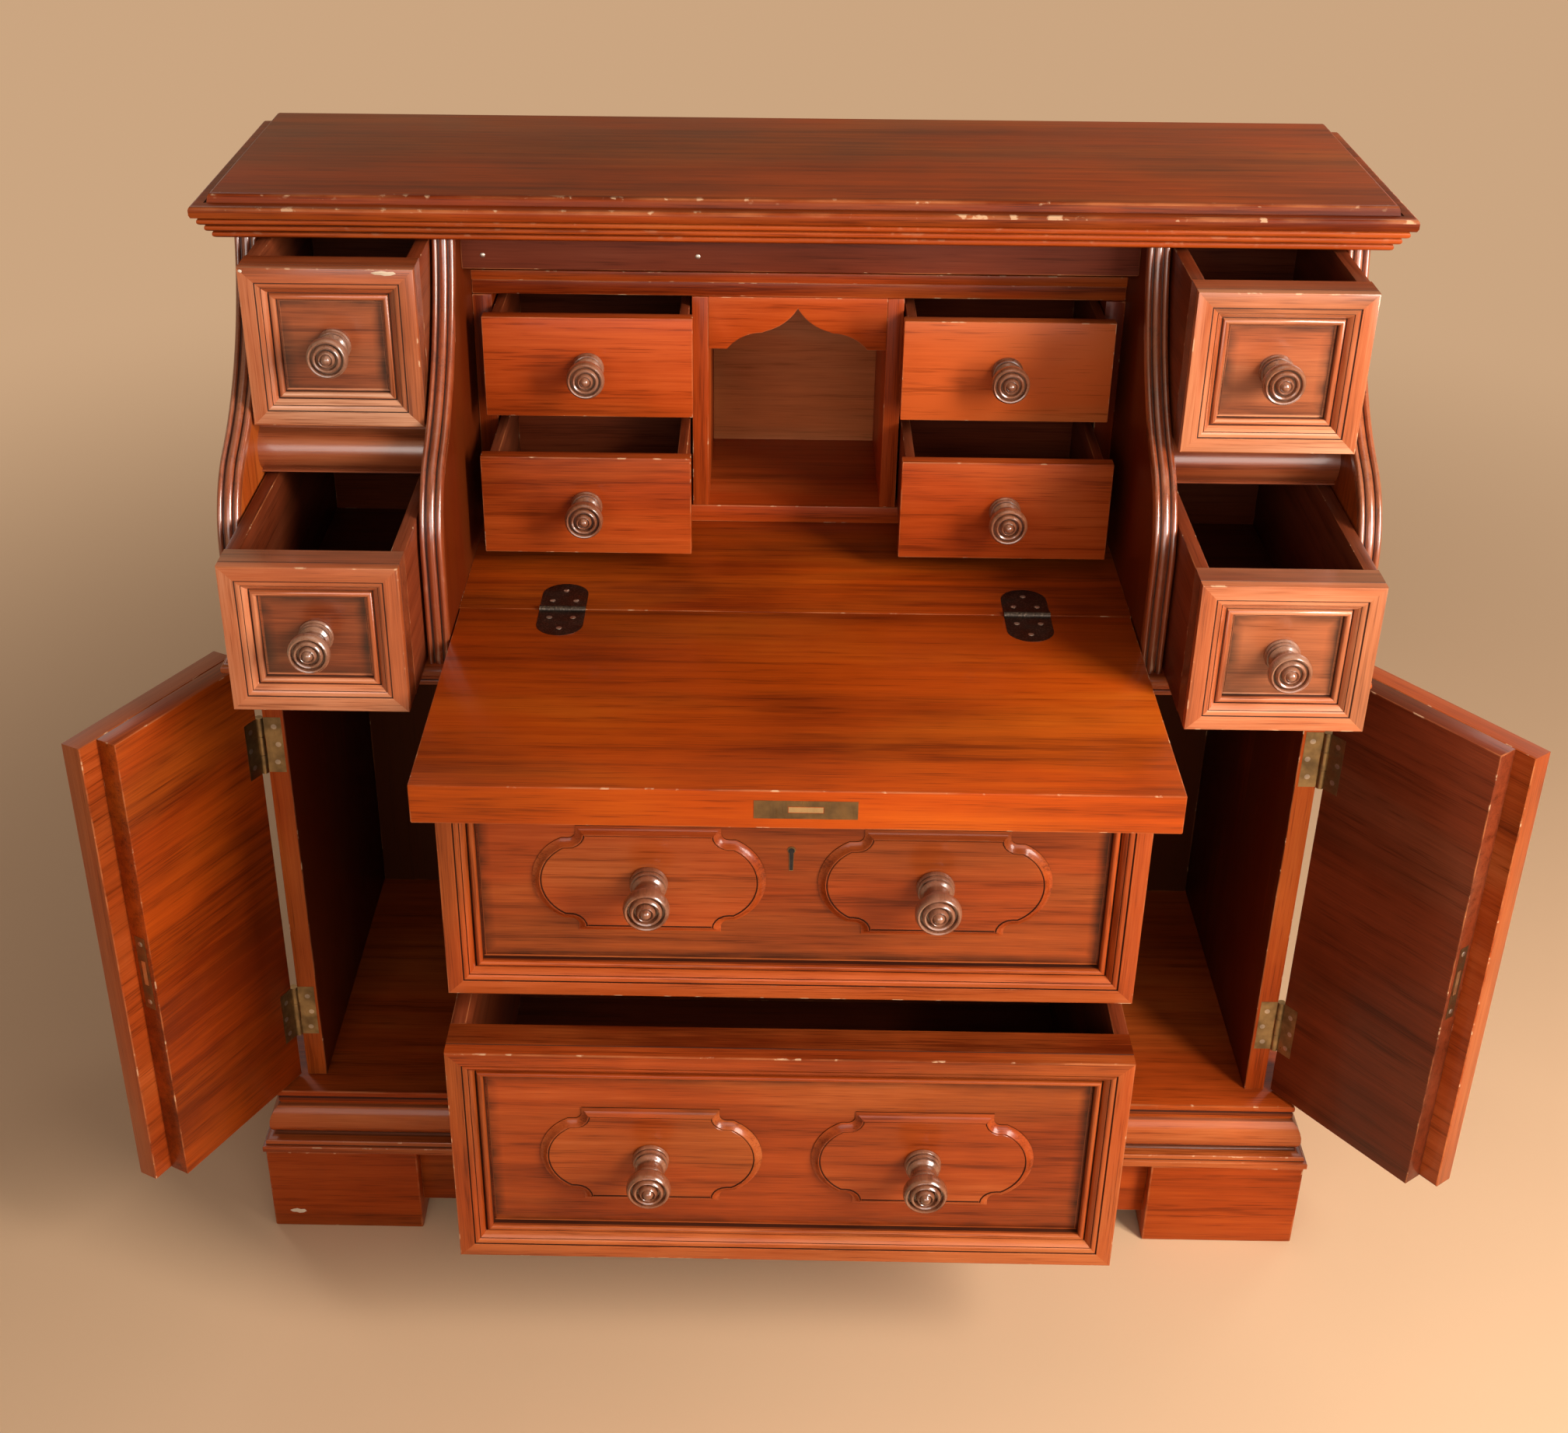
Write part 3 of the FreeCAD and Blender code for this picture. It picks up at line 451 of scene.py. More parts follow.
    def finish(self, name, material, body, slot, *nodes, place=None):
        """Turns the work into a piece that rides on a body and stands for solid nodes."""
        self.lay_grain()
        Joinery.start += self.boards
        bmesh.ops.scale(self.bm, vec=(MM, MM, MM), verts=self.bm.verts)
        if place is not None:
            bmesh.ops.transform(self.bm, matrix=place, verts=self.bm.verts)
            if place.determinant() < 0:
                bmesh.ops.reverse_faces(self.bm, faces=self.bm.faces)
        mesh = bpy.data.meshes.new(name)
        self.bm.to_mesh(mesh)
        self.bm.free()
        mesh.set_sharp_from_angle(angle=math.radians(40))
        mesh.materials.append(material)
        piece = bpy.data.objects.new(name, mesh)
        bpy.context.scene.collection.objects.link(piece)
        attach(piece, body)
        if nodes:
            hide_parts(*nodes)
        print(name, len(mesh.polygons), "faces,", self.boards, "boards")

    def fix(self, node, material, slot="carcass_wood"):
        """Finishes the work as the part of the carcass that stands for one solid node."""
        self.finish(node + "_wood", material, "carcass", slot, node)


def three_point_arc(a, b, c):
    """Centre, axis and angle of the arc from a through b to c."""
    u = b - a
    v = c - a
    axis = u.cross(v)
    offset = axis.cross(u) * v.length_squared + v.cross(axis) * u.length_squared
    centre = a + offset / (2 * axis.length_squared)
    axis.normalize()
    p = a - centre
    q = c - centre
    angle = math.atan2(p.cross(q).dot(axis), p.dot(q)) % (2 * math.pi)
    return centre, axis, angle


def span(node):
    """The low and high end of a solid node on each axis, in millimetres."""
    low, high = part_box(node)
    return [(low[axis] / MM, high[axis] / MM) for axis in range(3)]


def both(values):
    """A pair of ends, and the same pair mirrored in the middle of the desk."""
    return [values, (-values[1], -values[0])]


# %% [markdown]
# ## Levels
# These few sizes are shared by many boards, so they are read off the solids or written once, in millimetres.

# %% Shared sizes
FLOOR_TOP = span("base_floor")[2][1]
WAIST = span("waist_boards")[2]
HEAD = span("cornice")[2][0]
WRITING_TOP = span("writing_board")[2][1]
CARCASS_HALF = span("side_panels")[0][1]
GAP_HALF = span("writing_board")[0][1]
UPRIGHT = 21.0
BACK = -10.0
SIDE_INNER = GAP_HALF + UPRIGHT
SIDE_OUTER = CARCASS_HALF - UPRIGHT
print("waist", WAIST, "writing surface", WRITING_TOP)

# %% [markdown]
# ## Top and cornice
# The top has a raised field with a small ovolo, a flat lip and a rounded nose, and three beaded steps below
# it. All of it runs round the front and the ends but not the back. A rectangle carried through a list of
# stations makes the whole nosing with its mitres, and its back edge simply stays in the back plane.

# %% Top board and cornice
def shelf_corners(x, y, out, z, sides=("left", "right", "front")):
    """Corners of a level rectangle moved out by a distance on some of its sides."""
    low_x = x[0] - out * ("left" in sides)
    high_x = x[1] + out * ("right" in sides)
    front = y[0] - out * ("front" in sides)
    return [Vector((low_x, front, z)), Vector((high_x, front, z)), Vector((high_x, y[1], z)),
            Vector((low_x, y[1], z))]


def nosing(work, x, y, base, profile, sides=("left", "right", "front")):
    """A board with a moulded edge, from a list of how far out, how high above its base and how worn; below
    zero the wear paints shade and dirt in a crease.
    """
    stations = [(shelf_corners(x, y, out, base + rise, sides), wear) for out, rise, wear in profile]

    def member(face):
        middle = face.calc_center_median()
        at_end = x[1] - abs(middle.x - sum(x) / 2) - sum(x) / 2 < min(middle.y - y[0], y[1] - y[0])
        if abs(face.normal.z) > 0.9 and face.calc_area() > 20000:
            return "x", 1
        return ("y", 2) if at_end and abs(face.normal.x) > 0.3 else ("x", 3)

    work.rings(stations, member)


top_x, top_y, top_z = span("top_board")
work = Joinery()
nosing(work, top_x, top_y, top_z[0], [
    (-4.0, 0.0, 0), (-1.2, 0.8, 0), (0.0, 3.5, 0), (0.0, 8.2, 0.2), (-0.5, 9.8, 0.8), (-1.6, 11.2, 1),
    (-3.0, 11.8, 0.7), (-11.5, 12.0, 0), (-12.0, 11.0, -1), (-13.4, 11.0, -1), (-14.0, 12.6, -0.3),
    (-14.4, 15.0, 0), (-15.2, 17.6, 0.4), (-16.6, 19.3, 0.8), (-18.6, top_z[1] - top_z[0], 0.5)])
work.shade(work.bm.faces, -3.0)
work.fix("top_board", CARCASS)

work = Joinery()
cornice_profile = [(-18.0, 0.0, 0)]
for step, out in enumerate((-15.0, -10.0, -5.0)):
    low = 7.0 * step
    cornice_profile += [(out - 2.6, low + 0.2, -0.6), (out - 1.0, low + 1.0, 0), (out, low + 2.4, 0),
                        (out, low + 4.4, 0.3), (out - 1.0, low + 5.9, 0.4), (out - 2.6, low + 6.6, 0),
                        (out - 2.8, low + 7.0, -1)]
nosing(work, top_x, top_y, HEAD, cornice_profile)
work.fix("cornice", CARCASS)

# %% [markdown]
# ## S-shaped uprights and their reeding
# Each upright is a thick board sawn to an S: a straight foot, a convex arc and a concave arc. Its front edge
# carries a strip of three reeds. The board is an outline drawn with two arcs and given thickness; the strip
# is the section of the reeds, drawn up the foot and spun round the two arc centres, so it can't leave the S.

# %% Uprights
FRONT_LOW = -448.0
FRONT_HIGH = -266.0
LOW_RADIUS = 91.0
HIGH_RADIUS = 235.0
FOOT = 106.0
REED_DEPTH = 8.0
low_centre = Vector((0, FRONT_LOW + LOW_RADIUS, WAIST[1] + FOOT))
reach = FRONT_HIGH - FRONT_LOW
high_centre = Vector((0, FRONT_HIGH - HIGH_RADIUS,
                      low_centre.z + math.sqrt(reach * (2 * (LOW_RADIUS + HIGH_RADIUS) - reach))))
swing_low = math.pi - math.atan2(high_centre.z - low_centre.z, high_centre.y - low_centre.y)
swing_high = swing_low - math.asin((high_centre.z - HEAD) / (HIGH_RADIUS + REED_DEPTH / 2))


def s_point(inset, share_low, share_high):
    """A point on the S, as shares of the convex and then the concave arc."""
    if share_high is None:
        angle = math.pi - swing_low * share_low
        radius = LOW_RADIUS - inset
        return low_centre + Vector((0, math.cos(angle), math.sin(angle))) * radius
    angle = -swing_low + swing_high * share_high
    radius = HIGH_RADIUS + inset
    return high_centre + Vector((0, math.cos(angle), math.sin(angle))) * radius


def upright(work, x, back):
    shift = Vector((x[0], 0, 0))
    foot = Vector((x[0], FRONT_LOW + REED_DEPTH, WAIST[1]))
    bend = Vector((x[0], foot.y, low_centre.z))
    head = s_point(REED_DEPTH, None, 1.0) + shift
    head.z = HEAD
    half_way = s_point(REED_DEPTH, 0.5, None) + shift
    inflection = s_point(REED_DEPTH, 1.0, None) + shift
    edges = work.trace(foot, bend, (half_way, inflection), (s_point(REED_DEPTH, None, 0.5) + shift, head),
                       Vector((x[0], back, HEAD)), Vector((x[0], back, WAIST[1])), steps=12)
    work.plate(edges, Vector((x[1] - x[0], 0, 0)), "z")


REED_SHARES = (0.28, 0.42, 0.30)
REED_RISE = 3.6


def reeded_strip(work, x):
    """Three reeds side by side, swept up the S."""
    line = [Vector((x[0], FRONT_LOW + REED_DEPTH, WAIST[1]))]
    start = x[0]
    for share in REED_SHARES:
        width = (x[1] - x[0]) * share
        for step in range(9):
            angle = math.pi * step / 8
            line.append(Vector((start + width * (0.5 - 0.47 * math.cos(angle)),
                                FRONT_LOW + REED_RISE * (1 - math.sin(angle)), WAIST[1])))
        start += width
    line.append(Vector((x[1], FRONT_LOW + REED_DEPTH, WAIST[1])))
    edges = work.trace(line[0], *line[1:])
    made = bmesh.ops.extrude_edge_only(work.bm, edges=edges)
    bmesh.ops.translate(work.bm, vec=(0, 0, FOOT), verts=only(made["geom"], BMVert))
    last = only(made["geom"], (BMVert, BMEdge))
    for centre, angle, steps in ((low_centre, -swing_low, 14), (high_centre, swing_high, 14)):
        spun = bmesh.ops.spin(work.bm, geom=last, cent=centre, axis=(1, 0, 0), angle=angle, steps=steps)
        last = only(spun["geom_last"], (BMVert, BMEdge))
    for cap in (edges, only(last, BMEdge)):
        bmesh.ops.contextual_create(work.bm, geom=cap)
    for face in work.fresh():
        across = (face.calc_center_median().x - x[0]) / (x[1] - x[0])
        groove = min(abs(across - REED_SHARES[0]), abs(across - 1 + REED_SHARES[2]))
        # Grooves between the reeds are marked below zero: painted shade with dirt.
        face[work.edge] = -0.7 if groove < 0.035 else 0.35
    work.settle("z", smooth=True)


work = Joinery()
for x in both((SIDE_OUTER, CARCASS_HALF)):
    upright(work, x, 0)
work.fix("outer_uprights", CARCASS)
work = Joinery()
for x in both((GAP_HALF, SIDE_INNER)):
    upright(work, x, BACK)
# Painted shade: the inner uprights are darkened all over, for the shadow they stand in.
work.shade(work.bm.faces, -6.0)
work.fix("inner_uprights", CARCASS)
work = Joinery()
for x in both((SIDE_OUTER, CARCASS_HALF)) + both((GAP_HALF, SIDE_INNER)):
    reeded_strip(work, x)
work.fix("upright_reeding", POLISHED)

# %% [markdown]
# ## Rails between the side drawers
# Between the two side drawers lies a level rail, set back from the reeds. A fat polished roll takes up most
# of its height, with a fillet above and a thin strip below. It is an outline in the side view, drawn out
# across the opening.

# %% Roll rails, shelves and frieze
rail_y, rail_z = span("roll_rails")[1:]
ROLL_RADIUS = 20.0
roll_y = rail_y[0] + ROLL_RADIUS
roll_z = rail_z[0] + 20.5
fillet_y = roll_y - 3.0


def roll_rail(work, x):
    def at(y, z):
        return Vector((x[0], y, z))

    low, high = rail_z
    back = rail_y[1]
    edges = work.trace(at(back, low), at(roll_y - 11.5, low), at(roll_y - 12.5, low + 0.8),
                       at(roll_y - 12.5, low + 2.2), at(roll_y - 9.0, low + 2.7),
                       (at(roll_y - ROLL_RADIUS, roll_z), at(roll_y - 4.0, roll_z + 19.6)),
                       at(fillet_y, roll_z + 20.2), at(fillet_y, high - 1.0), at(fillet_y + 1.0, high),
                       at(back, high), steps=20)
    work.plate(edges, Vector((x[1] - x[0], 0, 0)), "x", 0)


work = Joinery()
for x in both((SIDE_INNER, SIDE_OUTER)):
    roll_rail(work, x)
for face in work.bm.faces:
    face.smooth = len(face.verts) == 4
work.fix("roll_rails", POLISHED)

SHELF_THICK = 12.0
DIVIDER_THICK = 27.5
DIVIDER_FRONT = -398.0
DIVIDER_BACK = -338.0
RUNNER_WIDTH = 20.0
work = Joinery()
work.pair((SIDE_INNER, SIDE_OUTER), (rail_y[1], BACK), (rail_z[1] - SHELF_THICK, rail_z[1]), "y")
divider_low = span("drawer_shelves")[2][0]
divider_z = (divider_low, divider_low + DIVIDER_THICK)
work.board((-GAP_HALF, GAP_HALF), (DIVIDER_FRONT, DIVIDER_BACK), divider_z, "x")
work.pair((GAP_HALF - RUNNER_WIDTH, GAP_HALF), (DIVIDER_BACK, BACK), divider_z, "y")
work.fix("drawer_shelves", INSIDE, "interior_wood")

work = Joinery()
work.board(*span("frieze_rail"), "x")
# Painted shade: the frieze rail's dark finish stands for the shade under the cornice.
work.fix("frieze_rail", DUSKY)
work = Joinery()
for x, z in ((-94.0, 1042.0), (-293.0, 1041.0)):
    face_y = span("frieze_rail")[1][0]
    work.turned([(0, -2.0), (2.4, -2.0), (2.4, 0.0), (1.6, 0.5), (0, 0.7)], Vector((x, face_y, z)),
                Vector((x, face_y - 1, z)), 16)
work.finish("frieze_pins", STEEL, "carcass", "brass_fittings")

# %% [markdown]
# ## Fitted case
# At the back of the writing board stands a case of four small drawers round a pigeonhole. It is plain
# boards, apart from the valance over the pigeonhole, which is sawn to a lobe and an ogee point.

# %% Case boards and valance
case_y = (span("fitted_case")[1][0], BACK)
case_z = (WRITING_TOP, WRITING_TOP + 18.0, WRITING_TOP + 120.0, WRITING_TOP + 134.0, WRITING_TOP + 236.0,
          WRITING_TOP + 260.0)
HOLE_HALF = span("pigeonhole_valance")[0][1]
CASE_INNER = HOLE_HALF + 16.0
CASE_OUTER = GAP_HALF - 19.0
work = Joinery()
work.board((-GAP_HALF, GAP_HALF), case_y, case_z[0:2], "x")
work.board((-GAP_HALF, GAP_HALF), (case_y[0] + 2.0, BACK), (case_z[4], case_z[4] + 14.0), "x", 1.0, -2.5)
work.board((-GAP_HALF, GAP_HALF), case_y, (case_z[4] + 14.0, case_z[5]), "x")
# Painted shadow: the case's end boards are darkened for the shadow of the lapped drawer fronts.
work.pair((CASE_OUTER, GAP_HALF), case_y, (case_z[1], case_z[4]), "z", 1.0, -5.0)
work.pair((HOLE_HALF, CASE_INNER), case_y, (case_z[1], case_z[4]), "z")
work.pair((CASE_INNER, CASE_OUTER), case_y, case_z[2:4], "x")
work.fix("fitted_case", CASE, "case_wood")
work = Joinery()
# Painted light: the pigeonhole's back gets a much lighter wood, for the light reaching into it.
work.board((-HOLE_HALF, HOLE_HALF), (BACK - 3.0, BACK), (case_z[1], case_z[4]), "x", 0.3)
work.finish("pigeonhole_lining", LIT_LINING, "carcass", "case_wood")

valance_y = span("pigeonhole_valance")[1]
shoulder_z = span("pigeonhole_valance")[2][0]


def hole_point(x, z):
    return Vector((x, valance_y[0], shoulder_z + z))


work = Joinery()
valance_head = case_z[4] - shoulder_z
edges = work.trace(hole_point(-HOLE_HALF, valance_head), hole_point(-HOLE_HALF, 0), hole_point(-68.0, 0),
                   (hole_point(-56.0, 10.5), hole_point(-34.0, 16.5)), hole_point(-31.0, 18.0),
                   (hole_point(-13.0, 26.5), hole_point(0, 41.0)),
                   (hole_point(13.0, 26.5), hole_point(31.0, 18.0)), hole_point(34.0, 16.5),
                   (hole_point(56.0, 10.5), hole_point(68.0, 0)), hole_point(HOLE_HALF, 0),
                   hole_point(HOLE_HALF, valance_head))
work.plate(edges, Vector((0, valance_y[1] - valance_y[0], 0)), "x", 0.6)
work.fix("pigeonhole_valance", CASE, "case_wood")

# %% [markdown]
# ## Back, sides and waist
# The back is close-boarded, with upright boards whose edges are eased so that the joints show. The sides are
# single wide boards. Inside the cupboards the sides, the partitions and the back are painted dark: painted
# shade for the dark of the cupboards. On the sides lie the waist boards, with a rounded nose over a hollow
# and a bead, and their ends are tucked in behind the back boards.

# %% Back, sides, partitions and waist
work = Joinery()
back_x, back_y, back_z = span("back_panel")
BACK_BOARDS = 6
width = (back_x[1] - back_x[0]) / BACK_BOARDS
for number in range(BACK_BOARDS):
    start = back_x[0] + width * number
    work.board((start, start + width), back_y, back_z, "z", 1.6)
work.bm.normal_update()
# Painted shade: the back's inner faces are darkened for the dark inside the cupboards.
work.shade([face for face in work.bm.faces if face.normal.y < -0.5], -5.0)
work.fix("back_panel", INSIDE, "interior_wood")

work = Joinery()
work.pair((SIDE_OUTER, CARCASS_HALF), span("side_panels")[1], (FLOOR_TOP, WAIST[0]), "z")
work.bm.normal_update()
# Painted shade: the sides' inner faces are darkened for the dark inside the cupboards.
work.shade([face for face in work.bm.faces if face.normal.x * face.calc_center_median().x < -100], -7.0)
work.fix("side_panels", CARCASS)
work = Joinery()
# Painted shade: the partitions are darkened all over for the dark inside the cupboards.
work.pair((GAP_HALF, GAP_HALF + 20.0), span("partitions")[1], (FLOOR_TOP, WAIST[0]), "z", 1.0, -7.0)
work.fix("partitions", INSIDE, "interior_wood")

TUCK = 0.5
waist_x, waist_y, waist_z = span("waist_boards")
work = Joinery()
for x, side in zip(both((GAP_HALF, waist_x[1])), ("right", "left")):
    nosing(work, x, (waist_y[0], waist_y[1] - TUCK), waist_z[0], [
        (-9.0, 0.0, 0), (-8.2, 0.6, 0.4), (-7.6, 2.6, 0.4), (-8.2, 5.0, 0), (-8.8, 6.0, -1), (-7.6, 9.0, 0),
        (-5.0, 11.6, 0), (-2.2, 12.6, -0.5), (-0.6, 14.0, 0), (0.0, 16.5, 0.3), (-0.5, 19.4, 0.5),
        (-2.4, 21.6, 0.8), (-4.5, waist_z[1] - waist_z[0], 0.4)], (side, "front"))
work.fix("waist_boards", FRONT)

# %% [markdown]
# ## Base
# Below the cupboards run a floor board with a fillet edge, a fat round over a hollow, two small steps, and
# then block feet with recessed rails between them. The feet are the most knocked part of the desk.

# %% Floor board, base moulding, feet and plinth
floor_x, floor_y, floor_z = span("base_floor")
work = Joinery()
nosing(work, floor_x, floor_y, floor_z[0], [
    (-6.0, 0.0, 0), (-2.2, 1.0, 0), (-1.0, 4.5, 0), (-1.0, 8.0, -0.6), (-1.8, 9.0, -1), (-1.8, 10.4, -1),
    (-0.6, 11.0, 0), (0.0, 12.4, 0), (0.0, 16.4, 0.3), (-0.6, 17.6, 1),
    (-1.6, floor_z[1] - floor_z[0], 1)])
work.fix("base_floor", CARCASS)


def mitred_run(work, x, front, base, section):
    """A moulding along the left end, the front and the right end, mitred at the corners."""
    rows = []
    for end, way, depth in ((x[0], -1, 0), (x[0], -1, 1), (x[1], 1, 1), (x[1], 1, 0)):
        points = [(end + way * out, depth * (front - out), base + rise) for out, rise, wear in section]
        rows.append([work.bm.verts.new(point) for point in points])
    for near, far in zip(rows, rows[1:]):
        for index, (out, rise, wear) in enumerate(section):
            after = (index + 1) % len(section)
            face = work.bm.faces.new((near[index], near[after], far[after], far[index]))
            face[work.edge] = wear
    for end in (rows[0], rows[-1]):
        work.bm.faces.new(end)

    def member(face):
        middle = face.calc_center_median()
        return ("x", 1) if abs(middle.x) < 0.5 * x[1] else ("y", 2 if middle.x < 0 else 3)

    work.settle(member, smooth=True)


moulding_x, moulding_y, moulding_z = span("base_moulding")
work = Joinery()
moulding_height = moulding_z[1] - moulding_z[0]
mitred_run(work, moulding_x, moulding_y[0], moulding_z[0], [
    (-66.0, 0.0, 0), (-1.2, 0.0, 0.4), (0.0, 1.2, 0), (0.0, 6.8, 1), (-0.8, 8.0, 0), (-3.0, 8.4, -0.8),
    (-3.4, 9.4, 0), (-3.4, 12.6, 1), (-4.4, 13.8, 0), (-8.0, 14.2, -0.4), (-11.6, 16.0, -0.7),
    (-13.4, 19.0, -0.9), (-13.6, 21.0, -1), (-11.0, 22.4, 0), (-9.2, 25.6, 0), (-8.4, 30.0, 0),
    (-8.8, 36.0, 0), (-10.6, 42.0, 0), (-13.6, 47.4, 0), (-17.4, 51.2, -0.6), (-20.0, moulding_height, 0),
    (-66.0, moulding_height, 0)])
work.fix("base_moulding", FRONT)

FOOT_WIDTH = 163.0
FOOT_LENGTH = 110.0
PLINTH_INSET = 14.0
PLINTH_THICK = 18.0
PLINTH_LOW = 30.0
foot_x, foot_y, foot_z = span("feet")
rail_end = foot_x[1] - FOOT_WIDTH
work = Joinery()
for x in both((rail_end, foot_x[1])):
    work.board(x, (foot_y[0], foot_y[0] + FOOT_LENGTH), foot_z, "x", 2.2)
    work.board(x, (-FOOT_LENGTH, foot_y[1]), foot_z, "x", 2.2)
work.fix("feet", CARCASS)

plinth_z = (PLINTH_LOW, foot_z[1])
plinth_y = foot_y[0] + PLINTH_INSET
plinth_x = foot_x[1] - PLINTH_INSET
work = Joinery()
work.board((-rail_end, rail_end), (plinth_y, plinth_y + PLINTH_THICK), plinth_z, "x")
work.board((-rail_end, rail_end), (-PLINTH_THICK, 0.0), (0.0, moulding_z[0] + 53.0), "x")
work.pair((plinth_x - PLINTH_THICK, plinth_x), (foot_y[0] + FOOT_LENGTH, -FOOT_LENGTH), plinth_z, "y")
work.fix("plinth_rails", CARCASS)

# %% [markdown]
# ## Knobs
# Every drawer has turned knobs: a collar of three rings, a neck, a fourth ring and a flared head with a
# ring and a button cut in its face. One outline, in shares of the radius and the length, serves all sizes.

# %% Turn the knobs
KNOB = [(0.0, 0.0), (0.78, 0.0), (0.83, 0.02), (0.83, 0.06), (0.78, 0.085), (0.69, 0.09), (0.69, 0.105),
        (0.77, 0.115), (0.80, 0.14), (0.77, 0.165), (0.67, 0.175), (0.65, 0.19), (0.71, 0.205), (0.73, 0.225),
        (0.70, 0.25), (0.60, 0.27), (0.55, 0.31), (0.53, 0.37), (0.54, 0.43), (0.60, 0.46), (0.67, 0.485),
        (0.68, 0.51), (0.65, 0.54), (0.59, 0.555), (0.63, 0.57), (0.78, 0.60), (0.91, 0.65), (0.985, 0.71),
        (1.0, 0.76), (0.985, 0.82), (0.94, 0.87), (0.87, 0.895), (0.81, 0.885), (0.78, 0.85), (0.76, 0.81),
        (0.72, 0.81), (0.70, 0.85), (0.66, 0.895), (0.60, 0.915), (0.54, 0.90), (0.51, 0.86), (0.49, 0.825),
        (0.44, 0.825), (0.42, 0.87), (0.38, 0.92), (0.33, 0.945), (0.29, 0.93), (0.27, 0.91), (0.24, 0.92),
        (0.20, 0.96), (0.14, 0.985), (0.07, 0.998), (0.0, 1.0)]
# The hollows of the knob are painted dark: painted shade with dirt.
KNOB_HOLLOWS = [(0.69, 0.09), (0.69, 0.105), (0.67, 0.175), (0.65, 0.19), (0.55, 0.31), (0.59, 0.555),
                (0.76, 0.81), (0.72, 0.81), (0.49, 0.825), (0.44, 0.825), (0.27, 0.91)]


def knobs(node, body):
    x, y, z = span(node)
    radius = (z[1] - z[0]) / 2
    length = y[1] - y[0]
    middles = [sum(x) / 2]
    if x[1] - x[0] > 3 * radius:
        middles = [x[0] + radius, x[1] - radius]
    work = Joinery()
    for middle in middles:
        seat = Vector((middle, y[1], sum(z) / 2))
        outline, hollows = [[(out * radius, up * length) for out, up in points]
                            for points in (KNOB, KNOB_HOLLOWS)]
        work.turned(outline, seat, seat - Vector((0, 1, 0)), dirt_and_shade_hollows=hollows)
    work.finish(node + "_turned", TURNED, body, "knob_wood", node)


# %% [markdown]
# ## Framed drawer fronts
# A front is a board with a mitred frame planted on it. From the outside in, the frame has a flat band, a
# quirk, a broad slope cut by a line, a groove, a bead and a sharp drop to the panel. A rectangle carried
# inwards through the section makes all four members with their mitres, and the grain turns at the mitre
# because each face is asked which member it belongs to. The panel is darker than the members, and its rim
# is painted darker still, painted shade with dirt in the recess. The faces of the lower member that look out
# and up are painted lighter, a painted highlight where light falls on them.

# %% Section of the frames, and a front
SECTION = [(0.40, 0.0, 0), (0.41, 0.03, 0.4), (0.415, 0.12, -1), (0.44, 0.12, -1), (0.445, 0.06, 0.3),
           (0.48, 0.06, 0), (0.52, 0.10, 0), (0.565, 0.19, 0), (0.57, 0.25, -1), (0.58, 0.25, -1),
           (0.585, 0.20, 0), (0.64, 0.32, 0), (0.69, 0.48, 0), (0.72, 0.60, 0), (0.73, 0.74, -1),
           (0.75, 0.74, -1), (0.76, 0.56, 0), (0.78, 0.46, 0), (0.815, 0.40, 0), (0.855, 0.41, 0),
           (0.89, 0.49, 0), (0.91, 0.61, 0), (0.92, 0.76, -0.5), (0.93, 1.06, -1), (0.975, 1.06, 0.2),
           (0.98, 1.0, -1), (1.0, 1.0, -0.4)]
LONG_FRAME = (35.4, 14.0)
SIDE_FRAME = (32.8, 10.0)
DOOR_FRAME = (40.0, 21.5)
SOIL_AND_SHADE_WIDTH = 10.0
EASE = 0.9
SEAM = 0.6


def framed(work, x, z, face, back, size, tone):
    """A mitred frame of some width and depth, with a panel of some tone, on a board that ends at back."""
    width, depth = size
    joint = face + depth

    def ring(inset, y):
        return [Vector((x[0] + inset, y, z[0] + inset)), Vector((x[1] - inset, y, z[0] + inset)),
                Vector((x[1] - inset, y, z[1] - inset)), Vector((x[0] + inset, y, z[1] - inset))]

    outside = [(EASE, back, 0), (0.0, back - EASE, 1)]
    if back - joint > 1.0:
        outside += [(0.0, joint + SEAM, 0), (SEAM, joint, -1), (0.0, joint - SEAM, -1)]
    outside += [(0.0, face + 1.4 * EASE, 0), (0.4 * EASE, face + 0.4 * EASE, 1), (1.4 * EASE, face, 1)]
    stations = outside + [(share * width, face + deep * depth, wear) for share, deep, wear in SECTION]
    stations.append((width + SOIL_AND_SHADE_WIDTH, joint, 0))

    def member(part):
        middle = part.calc_center_median()
        side = min(middle.x - x[0], x[1] - middle.x)
        head = min(middle.z - z[0], z[1] - middle.z)
        if middle.y > joint or min(side, head) > width:
            return "x", 1
        if side < head:
            return "z", 2 if middle.x < sum(x) / 2 else 3
        return "x", 4 if middle.z < sum(z) / 2 else 5

    panel = work.rings([(ring(inset, y), wear) for inset, y, wear in stations], member)
    rim = {edge.other_vert(vert) for vert in panel.verts for edge in vert.link_edges} - set(panel.verts)
    # Painted shade with dirt: the panel's rim is darkened, fading inwards.
    work.soil(rim)
    work.shade({part for vert in panel.verts for part in vert.link_faces}, tone)
    work.shade([part for part in work.bm.faces if part.calc_center_median().y > joint + SEAM], -4.0)
    work.bm.normal_update()
    # Painted highlight: faces of the lower member that look out and up are made lighter.
    lower = [part for part in work.bm.faces if part.calc_center_median().z < z[0] + width]
    work.shade([part for part in lower if part.normal.y < -0.3 and part.normal.z > -0.1], 3.0)


# %% [markdown]
# ## Boxes behind the fronts
# The boxes are bare inside and out: two sides, a bottom let in between them and a back.

